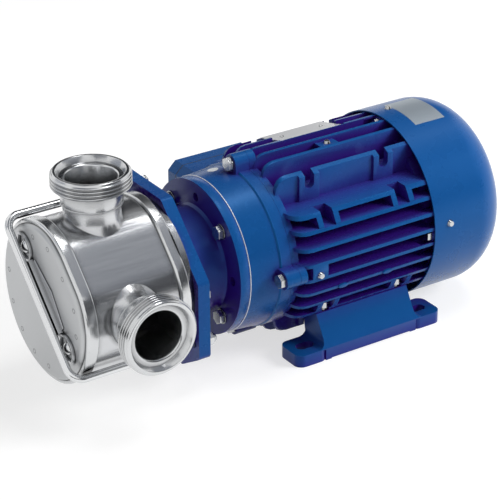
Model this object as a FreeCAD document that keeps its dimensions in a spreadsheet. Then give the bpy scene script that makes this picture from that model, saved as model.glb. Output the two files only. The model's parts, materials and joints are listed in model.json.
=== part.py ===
import FreeCAD, Part
import math
import os
import re
import Sketcher

# Flexible impeller pump on a foot-mounted electric motor
# Origin: centre of the foot hole pattern on the base plane. +X runs along the motor axis
# from the pump to the fan, +Z is up, the side port points along -Y. Lengths in millimetres.

Vector, Rotation, Placement = FreeCAD.Vector, FreeCAD.Rotation, FreeCAD.Placement

SIZES = {
    # Fits and gaps
    "fit": 0.02, "thread_gap": 0.05, "clearance": 0.5, "overlap": 1,
    # Feet under the motor
    "axis_height": 100, "foot_hole_x": 140, "foot_hole_y": 160, "foot_hole": 12, "foot_slot": 20,
    "foot_length": 178, "foot_width": 196, "foot_thick": 13, "foot_pad": 36, "foot_pad_round": 9,
    "foot_web": 8.1, "foot_web_half": 56, "foot_end_wall": 7, "foot_rib": 6, "foot_rib_x": 18,
    "foot_bar": 14, "foot_relief": 1, "flange_in": 57, "flange_out": 80,
    "flange_thick": 8, "foot_blend": 8, "foot_bolt_x": 45, "foot_bolt_y": 74,
    "foot_bolt_length": 20, "head_pocket": 8.1,
    # Motor frame
    "frame_front": -88, "frame_rear": 84, "tube_radius": 69, "core_radius": 64.5,
    "fin_radius": 96.5, "fin_thick": 3.5, "fin_pitch": 16, "top_fin_pitch": 16.4, "fin_start": 4,
    "wall_y": 48, "ledge_z": 56, "corner_wall": 4, "end_ring": 84, "end_ring_thick": 8,
    "wall_pad": 3, "wall_pad_width": 24, "wall_notch": 11, "wall_notch_z": 68,
    "ledge_pad_width": 26, "ledge_pad_depth": 14, "ledge_notch": 14, "ledge_notch_y": 66,
    "ledge_pad_y": 62, "front_lug_circle": 90.5, "front_lug": 9.5, "rear_lug_circle": 88,
    "rear_lug": 8.5,
    "front_lug_length": 16, "front_lug_bolt_length": 23, "fin_relief": 9, "fin_relief_length": 14,
    # Drive-end shield with its round mounting face
    "face_x": -133, "face_radius": 80, "drum_radius": 82.7, "spigot_radius": 55,
    "spigot_length": 3, "shield_rim": 12, "shield_wall": 16, "shield_room": 72,
    "bearing_housing": 38, "bolt_circle": 65, "shield_hole": 17, "face_bolt_length": 27,
    # Lantern
    "lantern_flange": 12, "neck_radius": 54, "neck_foot": 60, "neck_collar": 56,
    "neck_bore": 46, "plate_front": -195, "plate_thick": 13, "plate_half": 82.5,
    "plate_cut_small": 19.5, "plate_cut_wide": 32, "plate_cut_large": 65, "plate_round": 7,
    "plug_radius": 62, "plug_length": 5, "plug_room": 7, "leak_hole": 5, "leak_x": -162,
    # Pump casing: a round chamber flattened between the ports
    "chamber_radius": 75.5, "cam_flat": 68, "cam_corner": 56, "casing_wall": 3.5,
    "ring_step": 3, "ring_round": 2.5, "cover_land": 2, "cover_gap": 0.4, "casing_front": -315,
    "front_ring": 13, "chamber_back": -226, "back_wall": 8, "rear_ring": 12, "rear_gap": 5.5,
    "gap_radius": 76, "seal_room": 54, "casing_bolt_circle": 69, "casing_bolt_length": 28,
    # Ports with dairy unions
    "port_x": -260, "port_reach": 124.3, "port_bore": 25, "stub_bore": 25.5,
    "stub_radius": 28, "stub_end": 92, "stub_start": 60, "flare_radius": 35, "flare_end": 79,
    "collar_radius": 30, "thread_radius": 39, "thread_length": 17, "thread_edge": 1.2,
    "recess_radius": 33.4, "recess_floor": 31, "recess_depth": 6,
    # Cover with its gasket, rail and studs
    "cover_thick": 5, "cover_round": 4.5, "gasket_thick": 1, "rail_offset": 16,
    "rail_half": 38.5, "rail_width": 8, "rail_height": 5.5, "rail_base": 1.2,
    "rail_base_half": 36, "rail_base_width": 30, "rail_base_end": 16, "eye_pitch": 53.5,
    "eye_half_length": 16, "eye_half_width": 11.5, "eye_height": 3, "eye_wall": 2.5,
    "stud_radius": 6.5, "stud_height": 4.5, "stud_dome": 3.2,
    # Bail
    "rod_radius": 4, "bail_reach": 86, "bail_bend": 14, "bail_gap": 0.1, "rod_end": -172,
    "bail_hole_gap": 0.4, "spring_pocket": 8.4, "spring_room": 10.5, "spring_radius": 7.6,
    "spring_neck": 6.4, "spring_folds": 4, "washer_thick": 1.5, "cap_nut_length": 7,
    "cap_dome": 5.6,
    # Impeller
    "impeller_front": -312.8, "impeller_gap": 0.4, "hub_radius": 20, "hub_recess": 7.8,
    "core_rubber": 34, "vanes": 8, "vane_tip": 5.5, "vane_neck": 3.2, "vane_root": 4.6,
    "vane_root_radius": 30, "tip_gap": 0.15, "vane_lean": 9, "vane_offset": 22.5,
    "seal_pocket": 27, "seal_pocket_depth": 15, "impeller_washer": 19,
    "impeller_washer_thick": 2, "impeller_bolt_length": 25,
    # Shaft and seal
    "shaft_front": 12.5, "shaft_end_gap": 0.5, "shaft_mid": 18, "shoulder_gap": 3,
    "sleeve_radius": 24, "sleeve_start": -200, "sleeve_end": -137, "motor_end": 14,
    "motor_end_x": -193, "shaft_hole": 14, "seat_radius": 21, "seat_bore": 14.5,
    "seat_length": 6.5, "seal_radius": 19, "seal_length": 6, "seal_spring_radius": 18,
    "face_gap": 0.05, "key_width": 8, "key_height": 7, "key_length": 40, "hub_key_x": -295,
    "sleeve_key_x": -184, "set_screw": 3, "set_screw_length": 8, "set_screw_x": -150,
    "set_screw_pitch": 20,
    # Rotor, windings and bearings
    "core_half": 58, "air_gap": 0.5, "stator_bore": 40, "winding_inner": 44,
    "winding_outer": 62, "winding_length": 22, "core_shaft": 20, "core_shaft_front": -110,
    "core_shaft_rear": 83, "bearing_bore": 15, "bearing_outer": 31, "bearing_width": 16,
    "race_outer": 27.9, "race_inner": 18.1, "balls": 8, "ball": 4.75, "ball_circle": 23,
    "front_bearing_x": -128, "rear_bearing_x": 85, "spring_ring_thick": 1.5,
    "spring_ring_bore": 23,
    # Rear shield, fan and cowl
    "rear_shield_disc": 9, "rear_shield_end": 105, "rear_housing": 42, "rear_cone_x": 100,
    "cowl_boss": 7, "cowl_boss_start": 60, "fan_shaft": 12.5, "shaft_rear": 138,
    "fan_x": 110, "fan_hub": 18, "fan_width": 26, "fan_radius": 78, "fan_disc": 50,
    "fan_blades": 7, "fan_sheet": 2.5, "clip_radius": 16, "clip_thick": 1.2,
    "cowl_front": 77, "cowl_end": 178.7, "cowl_radius": 98.5, "cowl_round": 42,
    "cowl_sheet": 1.3, "cowl_gap": 0.4, "cowl_screw_x": 96, "cowl_screw_length": 16,
    "grille_slots": 16, "grille_inner": 18, "grille_outer": 50, "grille_width": 5,
    # Terminal box on the side away from the side port
    "box_x": -93, "box_length": 100, "box_half": 38, "box_y": 100, "box_depth": 22,
    "lid_depth": 15, "gasket_sheet": 1, "box_cut": 9, "box_wall": 3.5, "post_cut": 20,
    "lid_screw_in": 10, "lid_screw_length": 22, "pedestal_half": 32, "pedestal_length": 68,
    "pedestal_root": 10, "box_screw_x": 24, "box_screw_z": 22, "gland_hole": 8,
    "gland_hex": 13.5, "gland_hex_length": 7, "gland_radius": 12, "gland_length": 24,
    "gland_bore": 6, "block_length": 50, "block_width": 22, "block_height": 12,
    # Nameplate, earth screw and lifting hole
    "plate_length": 74, "plate_width": 40, "plate_sheet": 1, "plate_level": 93,
    "plate_tilt": 15, "plate_shift": 4.3, "plate_margin": 2, "rivet_x": 24,
    "rivet_radius": 1.6, "rivet_head": 2.6, "rivet_height": 0.9, "rivet_length": 5,
    "earth_x": -62.5, "earth_z": -3.7, "earth_boss": 18, "lifting_y": -16.4,
    "lifting_boss": 22,
    # Screws and bolts
    "bolt_head": 6.5, "bolt_head_height": 5.3, "bolt_radius": 4, "bolt_washer": 8,
    "nut_height": 6.5, "screw_radius": 2, "screw_head": 3.8, "screw_head_height": 2.6,
    "screw_length": 10,
}

HEAD_TURN = 45          # the flat of the casing faces halfway between the two ports
QUARTERS = (0, 90, 180, 270)
DIAGONALS = (45, 135, 225, 315)
COWL_SCREWS = (84, 174, 264, 354)

doc = FreeCAD.newDocument("ImpellerPump")
sheet = doc.addObject("Spreadsheet::Sheet", "Sizes")
for row, (alias, number) in enumerate(SIZES.items(), 1):
    sheet.set("A%d" % row, alias)
    sheet.set("B%d" % row, str(number))
    sheet.setAlias("B%d" % row, alias)
doc.recompute()

NODES = []


def size(alias):
    return float(sheet.get(alias))


def sized(formula):
    """Point each alias in a formula at its cell."""
    def cell(match):
        return "Sizes." + match.group() if match.group() in SIZES else match.group()
    return re.sub(r"[a-z]\w*", cell, str(formula))


def bind(thing, prop, formula):
    thing.setExpression(prop, sized(formula))


def place(thing, at=("0", "0", "0"), turn=None):
    thing.Placement = Placement(Vector(), turn or Rotation())
    for axis, where in zip("xyz", at):
        if str(where) != "0":
            bind(thing, "Placement.Base." + axis, where)
    return thing


def node(name, thing):
    """Name a finished sub-part. Its label is its file's name."""
    thing.Label = name
    NODES.append(thing)
    return thing


# Directions and points

def toward(x, y, z):
    """Turn that carries the Z axis into a direction."""
    return Rotation(Vector(0, 0, 1), Vector(x, y, z))


ALONG_X, AGAINST_X = toward(1, 0, 0), toward(-1, 0, 0)
ALONG_Y, AGAINST_Y = toward(0, 1, 0), toward(0, -1, 0)
ALONG_Z, AGAINST_Z = Rotation(), toward(0, 0, -1)
HEAD = Rotation(Vector(1, 0, 0), HEAD_TURN)


def radial(angle):
    """Turn the Z axis to point away from the motor axis at this angle from +Y."""
    return Rotation(Vector(1, 0, 0), angle - 90)


def off_axis(radius, angle, aside="0"):
    """Y and Z of a point at a radius and angle about the X axis, moved aside."""
    y = "(%s) * cos(%s) - (%s) * sin(%s)" % (radius, angle, aside, angle)
    z = "(%s) * sin(%s) + (%s) * cos(%s)" % (radius, angle, aside, angle)
    return y, z


def polar(radius, angle, aside="0"):
    """The same about the motor axis."""
    y, z = off_axis(radius, angle, aside)
    return y, "axis_height + " + z


def head_point(across, up):
    """Y and Z of a point given along and square to the long side of the bail."""
    y = "((%s) - (%s)) * cos(45)" % (across, up)
    z = "axis_height + ((%s) + (%s)) * cos(45)" % (across, up)
    return y, z


def on_axis(x):
    return (x, "0", "axis_height")


# Simple solids

def cylinder(radius, length, at=("0", "0", "0"), turn=ALONG_X):
    thing = doc.addObject("Part::Cylinder", "Round")
    bind(thing, "Radius", radius)
    bind(thing, "Height", length)
    return place(thing, at, turn)


def cone(radius1, radius2, length, at, turn=ALONG_X):
    thing = doc.addObject("Part::Cone", "Taper")
    bind(thing, "Radius1", radius1)
    bind(thing, "Radius2", radius2)
    bind(thing, "Height", length)
    return place(thing, at, turn)


def ball(radius, at):
    thing = doc.addObject("Part::Sphere", "Ball")
    bind(thing, "Radius", radius)
    return place(thing, at)


def box(length, width, height, at, turn=None):
    thing = doc.addObject("Part::Box", "Block")
    bind(thing, "Length", length)
    bind(thing, "Width", width)
    bind(thing, "Height", height)
    return place(thing, at, turn)


def spoke(x, length, width, start, end, angle, polar_point=polar):
    """Block that stands out from the axis between two radii."""
    corner = (x,) + polar_point(start, angle, "(%s) / 2" % width)
    return box(length, width, "(%s) - (%s)" % (end, start), corner, radial(angle))


def hexagon(across_half, height, at, turn=ALONG_X):
    thing = doc.addObject("Part::Prism", "Hexagon")
    thing.Polygon = 6
    bind(thing, "Circumradius", "(%s) / cos(30)" % across_half)
    bind(thing, "Height", height)
    return place(thing, at, turn)


def fuse(*things):
    if len(things) == 1:
        return things[0]
    whole = doc.addObject("Part::MultiFuse", "Joined")
    whole.Shapes = list(things)
    whole.Refine = True
    return whole


def cut(base, *tools):
    whole = doc.addObject("Part::Cut", "Opened")
    whole.Base = base
    whole.Tool = fuse(*tools)
    return whole


def common(one, other):
    whole = doc.addObject("Part::Common", "Shared")
    whole.Base = one
    whole.Tool = other
    return whole


def group(things):
    """Identical loose pieces that share one node."""
    whole = doc.addObject("Part::Compound", "Set")
    whole.Links = list(things)
    return whole


def ring(outer, inner, length, at, turn=ALONG_X):
    return cut(cylinder(outer, length, at, turn), cylinder(inner, length, at, turn))


# Bodies made from sketches

def origin_plane(body, role):
    return [f for f in body.Origin.OriginFeatures if f.Role == role][0]


def sketch_on(body, role, offset="0"):
    sketch = body.newObject("Sketcher::SketchObject", "Outline")
    sketch.AttachmentSupport = [(origin_plane(body, role), "")]
    sketch.MapMode = "FlatFace"
    if str(offset) != "0":
        bind(sketch, "AttachmentOffset.Base.z", offset)
    return sketch


def polygon(sketch, corners):
    """Closed outline whose corners are pairs of formulas."""
    count = len(corners)
    turns = [2 * math.pi * i / count for i in range(count)]
    rough = [Vector(math.cos(t), math.sin(t), 0) for t in turns]
    sides = [Part.LineSegment(rough[i], rough[(i + 1) % count]) for i in range(count)]
    sketch.addGeometry(sides)
    sketch.addConstraint([Sketcher.Constraint("Coincident", i, 2, (i + 1) % count, 1)
                          for i in range(count)])
    for i, corner in enumerate(corners):
        for kind, formula in zip(("DistanceX", "DistanceY"), corner):
            index = sketch.addConstraint(Sketcher.Constraint(kind, -1, 1, i, 1, 1.0))
            bind(sketch, "Constraints[%d]" % index, formula)
    return sketch


def turned(corners, at=None, turn=None):
    """Solid turned about its X axis from corners given as X and radius."""
    body = doc.addObject("PartDesign::Body", "Turned")
    sketch = polygon(sketch_on(body, "XZ_Plane"), corners)
    revolution = body.newObject("PartDesign::Revolution", "Turn")
    revolution.Profile = (sketch, [""])
    revolution.ReferenceAxis = (sketch, ["H_Axis"])
    revolution.Angle = 360
    body.Tip = revolution
    return place(body, at or on_axis("0"), turn)


def extruded(corners, start, length, role="YZ_Plane", at=("0", "0", "0")):
    """Solid of straight sides: its corners lie in an origin plane of the body."""
    body = doc.addObject("PartDesign::Body", "Extruded")
    sketch = polygon(sketch_on(body, role, start), corners)
    pad = body.newObject("PartDesign::Pad", "Length")
    pad.Profile = (sketch, [""])
    bind(pad, "Length", length)
    body.Tip = pad
    return place(body, at)


def round_edges(body, radius, picked):
    """Round the edges of a body's last feature that the picker accepts."""
    doc.recompute()
    base = body.Tip
    names = ["Edge%d" % i for i, edge in enumerate(base.Shape.Edges, 1) if picked(edge)]
    fillet = body.newObject("PartDesign::Fillet", "Rounding")
    fillet.Base = (base, names)
    bind(fillet, "Radius", radius)
    body.Tip = fillet
    return body


def lies_at(x):
    """Picker of the edges in the plane at this X."""
    return lambda edge: edge.BoundBox.XLength < 0.01 and abs(edge.BoundBox.XMin - x) < 0.01


def runs_along_x(edge):
    return edge.BoundBox.YLength < 0.01 and edge.BoundBox.ZLength < 0.01


def stands_up(edge):
    return edge.BoundBox.XLength < 0.01 and edge.BoundBox.YLength < 0.01


def cam(step, start, length):
    """Chamber outline grown by a step: a circle with one soft flat toward +Z of the body."""
    body = doc.addObject("PartDesign::Body", "Cam")
    sketch = sketch_on(body, "YZ_Plane", start)
    grow = sum(size(part) for part in re.findall(r"[a-z]\w*", step))
    radius, flat, corner = (size(a) + grow for a in ("chamber_radius", "cam_flat", "cam_corner"))
    across = math.sqrt((radius - corner) ** 2 - (flat - corner) ** 2)
    lean = math.atan2(flat - corner, across)
    right, left = Vector(across, flat - corner, 0), Vector(-across, flat - corner, 0)
    up = Vector(0, 0, 1)
    sketch.addGeometry([
        Part.ArcOfCircle(Part.Circle(Vector(), up, radius), math.pi - lean, 2 * math.pi + lean),
        Part.ArcOfCircle(Part.Circle(right, up, corner), lean, math.pi / 2),
        Part.LineSegment(Vector(across, flat, 0), Vector(-across, flat, 0)),
        Part.ArcOfCircle(Part.Circle(left, up, corner), math.pi / 2, math.pi - lean)])
    sketch.addConstraint([
        Sketcher.Constraint("Coincident", 0, 3, -1, 1),
        Sketcher.Constraint("Tangent", 0, 2, 1, 1), Sketcher.Constraint("Tangent", 1, 2, 2, 1),
        Sketcher.Constraint("Tangent", 2, 2, 3, 1), Sketcher.Constraint("Tangent", 3, 2, 0, 1),
        Sketcher.Constraint("Horizontal", 2), Sketcher.Constraint("Equal", 1, 3)])
    for constraint, alias in (
            (Sketcher.Constraint("Radius", 0, radius), "chamber_radius"),
            (Sketcher.Constraint("Radius", 1, corner), "cam_corner"),
            (Sketcher.Constraint("DistanceY", -1, 1, 2, 1, flat), "cam_flat")):
        index = sketch.addConstraint(constraint)
        bind(sketch, "Constraints[%d]" % index, "%s + %s" % (alias, step))
    pad = body.newObject("PartDesign::Pad", "Length")
    pad.Profile = (sketch, [""])
    bind(pad, "Length", length)
    body.Tip = pad
    return body


def head_place(thing):
    """Turn a piece drawn flat side up into the casing's real position."""
    return place(thing, on_axis("0"), HEAD)


# Fasteners. Each is given by the point where its head seats and the way its head faces.

def bolt(seat, facing, length, away):
    head = hexagon("bolt_head", "bolt_head_height", seat, facing)
    return fuse(head, cylinder("bolt_radius", length, seat, away))


def screw(seat, facing, away, length="screw_length"):
    top = cone("screw_head", "screw_head * 0.7", "screw_head_height", seat, facing)
    return fuse(top, cylinder("screw_radius", length, seat, away))


def washer(seat, turn=ALONG_X):
    return ring("bolt_washer", "bolt_radius + clearance / 2", "washer_thick", seat, turn)


# Motor frame

def stator_frame():
    length = "frame_rear - frame_front"
    tube = cylinder("tube_radius", length, on_axis("frame_front"))
    start = "frame_front + fin_start"
    envelope = turned([(start, "0"), (start, "fin_radius - 12"),
                       (start + " + 1.6", "fin_radius - 7"), (start + " + 4.5", "fin_radius - 3"),
                       (start + " + 9", "fin_radius - 0.8"), (start + " + 14", "fin_radius"),
                       ("frame_rear", "fin_radius"), ("frame_rear", "0")])
    raised = fins() + corner_pads() + [nameplate_seat(), lifting_boss(), earth_boss()]
    ends = [cylinder("end_ring", "end_ring_thick", on_axis(x))
            for x in ("frame_front", "frame_rear - end_ring_thick")]
    lugs = [part for angle in QUARTERS for part in
            lug("frame_front", "end_ring_thick", "front_lug_circle", "front_lug", angle)
            + lug("frame_rear - end_ring_thick", "end_ring_thick", "rear_lug_circle",
                  "rear_lug", angle)]
    ribs = cut(common(fuse(*raised), envelope), *rear_bolt_room())
    body = fuse(tube, ribs, pedestal(), *(ends + lugs))
    bore = cylinder("core_radius + fit", length, on_axis("frame_front"))
    above = box("plate_length + 2 * plate_margin", "plate_width + 2 * plate_margin", "20",
                *tilted("-plate_length / 2 - plate_margin",
                        "plate_shift - plate_width / 2 - plate_margin", "plate_level"))
    node("stator_frame", cut(body, bore, above, *(corner_slots() + frame_holes())))


def fins():
    length = "frame_rear - frame_front"
    plates = []
    for side in (-2.5, -1.5, -0.5, 0.5, 1.5, 2.5):
        z = "axis_height + fin_pitch * %g - fin_thick / 2" % side
        plates.append(box(length, "2 * fin_radius", "fin_thick", ("frame_front", "-fin_radius", z)))
    for side in (-1.5, -0.5, 0.5, 1.5):
        y = "top_fin_pitch * %g - fin_thick / 2" % side
        plates.append(box(length, "fin_thick", "2 * fin_radius",
                          ("frame_front", y, "axis_height - fin_radius")))
    for z in ("axis_height + ledge_z - corner_wall", "axis_height - ledge_z"):
        plates.append(box(length, "2 * fin_radius", "corner_wall",
                          ("frame_front", "-fin_radius", z)))
    for y in ("wall_y - corner_wall", "-wall_y"):
        plates.append(box(length, "corner_wall", "2 * fin_radius",
                          ("frame_front", y, "axis_height - fin_radius")))
    return plates


def span(low, high, side):
    """Start and length of a stretch on the positive or negative side of the axis."""
    start = low if side > 0 else "-(%s)" % high
    return start, "(%s) - (%s)" % (high, low)


def corners():
    """The eight corner pads by the sign of X, Y and Z."""
    return [(x, y, z) for x in (-1, 1) for y in (-1, 1) for z in (-1, 1)]


def corner_pads():
    """Pads on the walls and ledges of the corners, where feet or a box can be bolted."""
    pads = []
    for x, y, z in corners():
        wall_y, wall_deep = span("wall_y - corner_wall", "wall_y + wall_pad", y)
        wall_z, wall_tall = span("ledge_z - corner_wall", "fin_radius", z)
        pads.append(box("wall_pad_width", wall_deep, wall_tall,
                        ("%d * foot_bolt_x - wall_pad_width / 2" % x, wall_y,
                         "axis_height + " + wall_z)))
        ledge_y, ledge_deep = span("ledge_pad_y", "fin_radius", y)
        ledge_z, ledge_tall = span("ledge_z - ledge_pad_depth", "ledge_z", z)
        pads.append(box("ledge_pad_width", ledge_deep, ledge_tall,
                        ("%d * foot_bolt_x - ledge_pad_width / 2" % x, ledge_y,
                         "axis_height + " + ledge_z)))
    return pads


def corner_slots():
    """Notches of the corner pads. The lower ledges keep a floor under the nuts of the feet."""
    tools = []
    for x, y, z in corners():
        notch_y, notch_deep = span("wall_y - corner_wall - 1", "wall_y + wall_pad + 1", y)
        notch_z, notch_tall = span("wall_notch_z + wall_notch / 2", "fin_radius + 2", z)
        tools.append(box("wall_notch", notch_deep, notch_tall,
                         ("%d * foot_bolt_x - wall_notch / 2" % x, notch_y,
                          "axis_height + " + notch_z)))
        end = "axis_height + %d * (wall_notch_z + wall_notch / 2)" % z
        tools.append(cylinder("wall_notch / 2", notch_deep, ("%d * foot_bolt_x" % x, notch_y, end),
                              ALONG_Y))
        inner = "ledge_z - corner_wall" if z < 0 else "ledge_z + 1"
        ledge_y, ledge_deep = span("ledge_notch_y", "fin_radius + 2", y)
        ledge_z, ledge_tall = span("ledge_z - ledge_pad_depth - 1", inner, z)
        tools.append(box("ledge_notch", ledge_deep, ledge_tall,
                         ("%d * foot_bolt_x - ledge_notch / 2" % x, ledge_y,
                          "axis_height + " + ledge_z)))
        if z < 0:
            tools += bolt_slot(x, y)
    return tools


def bolt_slot(x, y):
    """Open slot for a foot bolt in a lower ledge."""
    low = "axis_height - ledge_z - 1"
    start, deep = span("foot_bolt_y", "fin_radius + 2", y)
    radius = "bolt_radius + clearance"
    at = ("%d * foot_bolt_x" % x, "%d * foot_bolt_y" % y, low)
    return [cylinder(radius, "corner_wall + 2", at, ALONG_Z),
            box("2 * (%s)" % radius, deep, "corner_wall + 2",
                ("%d * foot_bolt_x - (%s)" % (x, radius), start, low))]


def lug(x, length, circle, radius, angle):
    """Bolt lug with its stem on the frame."""
    return [cylinder(radius, length, (x,) + polar(circle, angle)),
            spoke(x, length, "2 * (%s)" % radius, "tube_radius", circle, angle)]


def rear_bolt_room():
    """The fins stop short of the heads of the rear shield bolts."""
    x = "frame_rear - end_ring_thick - fin_relief_length"
    return [cylinder("fin_relief", "fin_relief_length", (x,) + polar("rear_lug_circle", angle))
            for angle in QUARTERS]


def frame_holes():
    thread = "bolt_radius + thread_gap"
    free = "bolt_radius + clearance"
    small = "screw_radius + thread_gap"
    tools = [cylinder(thread, "end_ring_thick", ("frame_front",) + polar("front_lug_circle", a))
             for a in QUARTERS]
    tools += [cylinder(free, "end_ring_thick",
                       ("frame_rear - end_ring_thick",) + polar("rear_lug_circle", a))
              for a in QUARTERS]
    tools.append(cylinder(small, "screw_length + 1", ("earth_x", "-fin_radius - 1",
                                                      "axis_height + earth_z"), ALONG_Y))
    tools.append(cylinder(small, "screw_length + 2",
                          ("0", "lifting_y", "axis_height + plate_level - screw_length - 1"),
                          ALONG_Z))
    tools += [cylinder(small, "screw_length", (x, "box_y - screw_length + box_wall", z), ALONG_Y)
              for x, z in box_screw_points()]
    for x in (-1, 1):
        at, turn = tilted("%d * rivet_x" % x, "plate_shift", "plate_level - rivet_length")
        tools.append(cylinder("rivet_radius + thread_gap", "rivet_length", at, turn))
    return tools


def tilted(x, across, level):
    """Place something on the slanted seat of the nameplate."""
    y = "(%s) * cos(plate_tilt) + (%s) * sin(plate_tilt)" % (across, level)
    z = "axis_height - (%s) * sin(plate_tilt) + (%s) * cos(plate_tilt)" % (across, level)
    return (x, y, z), Rotation(Vector(1, 0, 0), -size("plate_tilt"))


def pedestal():
    """Raised seat of the terminal box."""
    return box("pedestal_length", "box_y - tube_radius + pedestal_root", "2 * pedestal_half",
               ("box_x + box_length / 2 - pedestal_length / 2", "tube_radius - pedestal_root",
                "axis_height - pedestal_half"))


def nameplate_seat():
    at, turn = tilted("-plate_length / 2", "plate_shift - plate_width / 2", "tube_radius - 6")
    return box("plate_length", "plate_width", "plate_level - tube_radius + 6", at, turn)


def lifting_boss():
    return box("lifting_boss", "top_fin_pitch", "plate_level - tube_radius + 6",
               ("-lifting_boss / 2", "lifting_y - top_fin_pitch / 2",
                "axis_height + tube_radius - 6"))


def earth_boss():
    return box("earth_boss", "fin_radius - tube_radius + 4", "fin_pitch",
               ("earth_x - earth_boss / 2", "-fin_radius", "axis_height - fin_pitch / 2"))


def frame_details():
    """Nameplate with its rivets, and the screws of the earth point and the lifting hole."""
    at, turn = tilted("-plate_length / 2", "plate_shift - plate_width / 2", "plate_level")
    plate = box("plate_length", "plate_width", "plate_sheet", at, turn)
    holes, rivets = [], []
    for x in (-1, 1):
        low, turn = tilted("%d * rivet_x" % x, "plate_shift",
                           "plate_level + plate_sheet - rivet_length")
        seat, turn = tilted("%d * rivet_x" % x, "plate_shift", "plate_level + plate_sheet")
        holes.append(cylinder("rivet_radius + thread_gap", "rivet_length", low, turn))
        rivets.append(fuse(cylinder("rivet_radius", "rivet_length", low, turn),
                           cone("rivet_head", "rivet_head * 0.6", "rivet_height", seat, turn)))
    node("nameplate", cut(plate, *holes))
    node("nameplate_rivets", group(rivets))
    earth = screw(("earth_x", "-fin_radius", "axis_height + earth_z"), AGAINST_Y, ALONG_Y)
    lifting = screw(("0", "lifting_y", "axis_height + plate_level"), ALONG_Z, AGAINST_Z)
    node("frame_screws", group([earth, lifting]))


# Shields, windings, shaft and bearings

def drive_end_shield():
    rim = "frame_front - shield_rim"
    inner = "face_x + shield_wall"
    shell = turned([
        ("face_x - spigot_length", "shield_hole"), ("face_x - spigot_length", "spigot_radius"),
        ("face_x", "spigot_radius"), ("face_x", "face_radius - 1"),
        ("face_x + 1", "face_radius"), (rim, "drum_radius"), (rim, "end_ring"),
        ("frame_front", "end_ring"), ("frame_front", "shield_room"), (inner, "shield_room"),
        (inner, "bearing_housing"), ("front_bearing_x + bearing_width", "bearing_housing"),
        ("front_bearing_x + bearing_width", "bearing_outer"),
        ("front_bearing_x", "bearing_outer"), ("front_bearing_x", "shield_hole")])
    lug_face = "frame_front - front_lug_length"
    lugs = [part for angle in QUARTERS for part in
            lug(lug_face, "front_lug_length", "front_lug_circle", "front_lug", angle)]
    room = cylinder("shield_room", "front_lug_length", on_axis(lug_face))
    holes = [cylinder("bolt_radius + clearance", "front_lug_length",
                      (lug_face,) + polar("front_lug_circle", a)) for a in QUARTERS]
    holes += [cylinder("bolt_radius + thread_gap", "face_bolt_length - lantern_flange",
                       ("face_x",) + polar("bolt_circle", a)) for a in DIAGONALS]
    node("drive_end_shield", cut(fuse(shell, *[cut(part, room) for part in lugs]), *holes))
    seats = [(lug_face,) + polar("front_lug_circle", a) for a in QUARTERS]
    node("shield_bolts", group([bolt(seat, AGAINST_X, "front_lug_bolt_length", ALONG_X)
                                for seat in seats]))


def rear_end_shield():
    disc = "frame_rear + rear_shield_disc"
    bearing_end = "rear_bearing_x + bearing_width + spring_ring_thick"
    shell = turned([
        ("frame_rear", "bearing_outer"), ("frame_rear", "end_ring"), (disc, "end_ring"),
        ("rear_cone_x", "rear_housing"), ("rear_shield_end", "rear_housing"),
        ("rear_shield_end", "fan_shaft + 1.5"), (bearing_end, "fan_shaft + 1.5"),
        (bearing_end, "bearing_outer")])
    lugs = [part for angle in QUARTERS for part in
            lug("frame_rear", "rear_shield_disc", "rear_lug_circle", "rear_lug", angle)]
    reach = "cowl_radius - cowl_sheet - cowl_gap"
    bosses = [cylinder("cowl_boss", "%s - cowl_boss_start" % reach,
                       ("cowl_screw_x",) + polar("cowl_boss_start", a), radial(a))
              for a in COWL_SCREWS]
    holes = [cylinder("bolt_radius + thread_gap", "rear_shield_disc",
                      ("frame_rear",) + polar("rear_lug_circle", a)) for a in QUARTERS]
    holes += [cylinder("screw_radius + thread_gap", "cowl_screw_length",
                       ("cowl_screw_x",) + polar("cowl_radius - cowl_screw_length", a), radial(a))
              for a in COWL_SCREWS]
    room = cylinder("bearing_outer + 10", "rear_cone_x - frame_rear", on_axis("frame_rear"))
    node("rear_end_shield", cut(fuse(shell, *(lugs + [cut(b, room) for b in bosses])), *holes))
    seats = [("frame_rear - end_ring_thick",) + polar("rear_lug_circle", a) for a in QUARTERS]
    node("rear_shield_bolts", group([
        bolt(seat, AGAINST_X, "end_ring_thick + rear_shield_disc - 1", ALONG_X)
        for seat in seats]))


def windings():
    node("stator_core", ring("core_radius", "stator_bore", "2 * core_half", on_axis("-core_half")))
    ends = [ring("winding_outer", "winding_inner", "winding_length", on_axis(x))
            for x in ("-core_half - winding_length", "core_half")]
    node("windings", group(ends))


def motor_shaft():
    front, rear = "front_bearing_x", "rear_bearing_x + bearing_width + 1"
    shaft = turned([
        ("motor_end_x", "0"), ("motor_end_x", "motor_end - 1"), ("motor_end_x + 1", "motor_end"),
        ("face_x", "motor_end"), ("face_x", "bearing_bore"),
        ("front_bearing_x + bearing_width + 1", "bearing_bore"),
        ("core_shaft_front", "core_shaft"), ("core_shaft_rear", "core_shaft"),
        ("core_shaft_rear", "bearing_bore"), (rear, "bearing_bore"), (rear, "fan_shaft"),
        ("shaft_rear - 1", "fan_shaft"), ("shaft_rear", "fan_shaft - 1"), ("shaft_rear", "0")])
    node("motor_shaft", cut(shaft, sleeve_key()))
    node("rotor_core", ring("stator_bore - air_gap", "core_shaft + fit", "2 * core_half",
                            on_axis("-core_half")))


def bearing(name, x):
    node(name + "_bearing_outer", ring("bearing_outer - fit", "race_outer", "bearing_width",
                                       on_axis(x)))
    node(name + "_bearing_inner", ring("race_inner", "bearing_bore + fit", "bearing_width",
                                       on_axis(x)))
    middle = "%s + bearing_width / 2" % x
    spots = [(middle,) + polar("ball_circle", i * 360 / size("balls"))
             for i in range(int(size("balls")))]
    node(name + "_bearing_balls", group([ball("ball", spot) for spot in spots]))


# Fan and cowl

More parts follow.
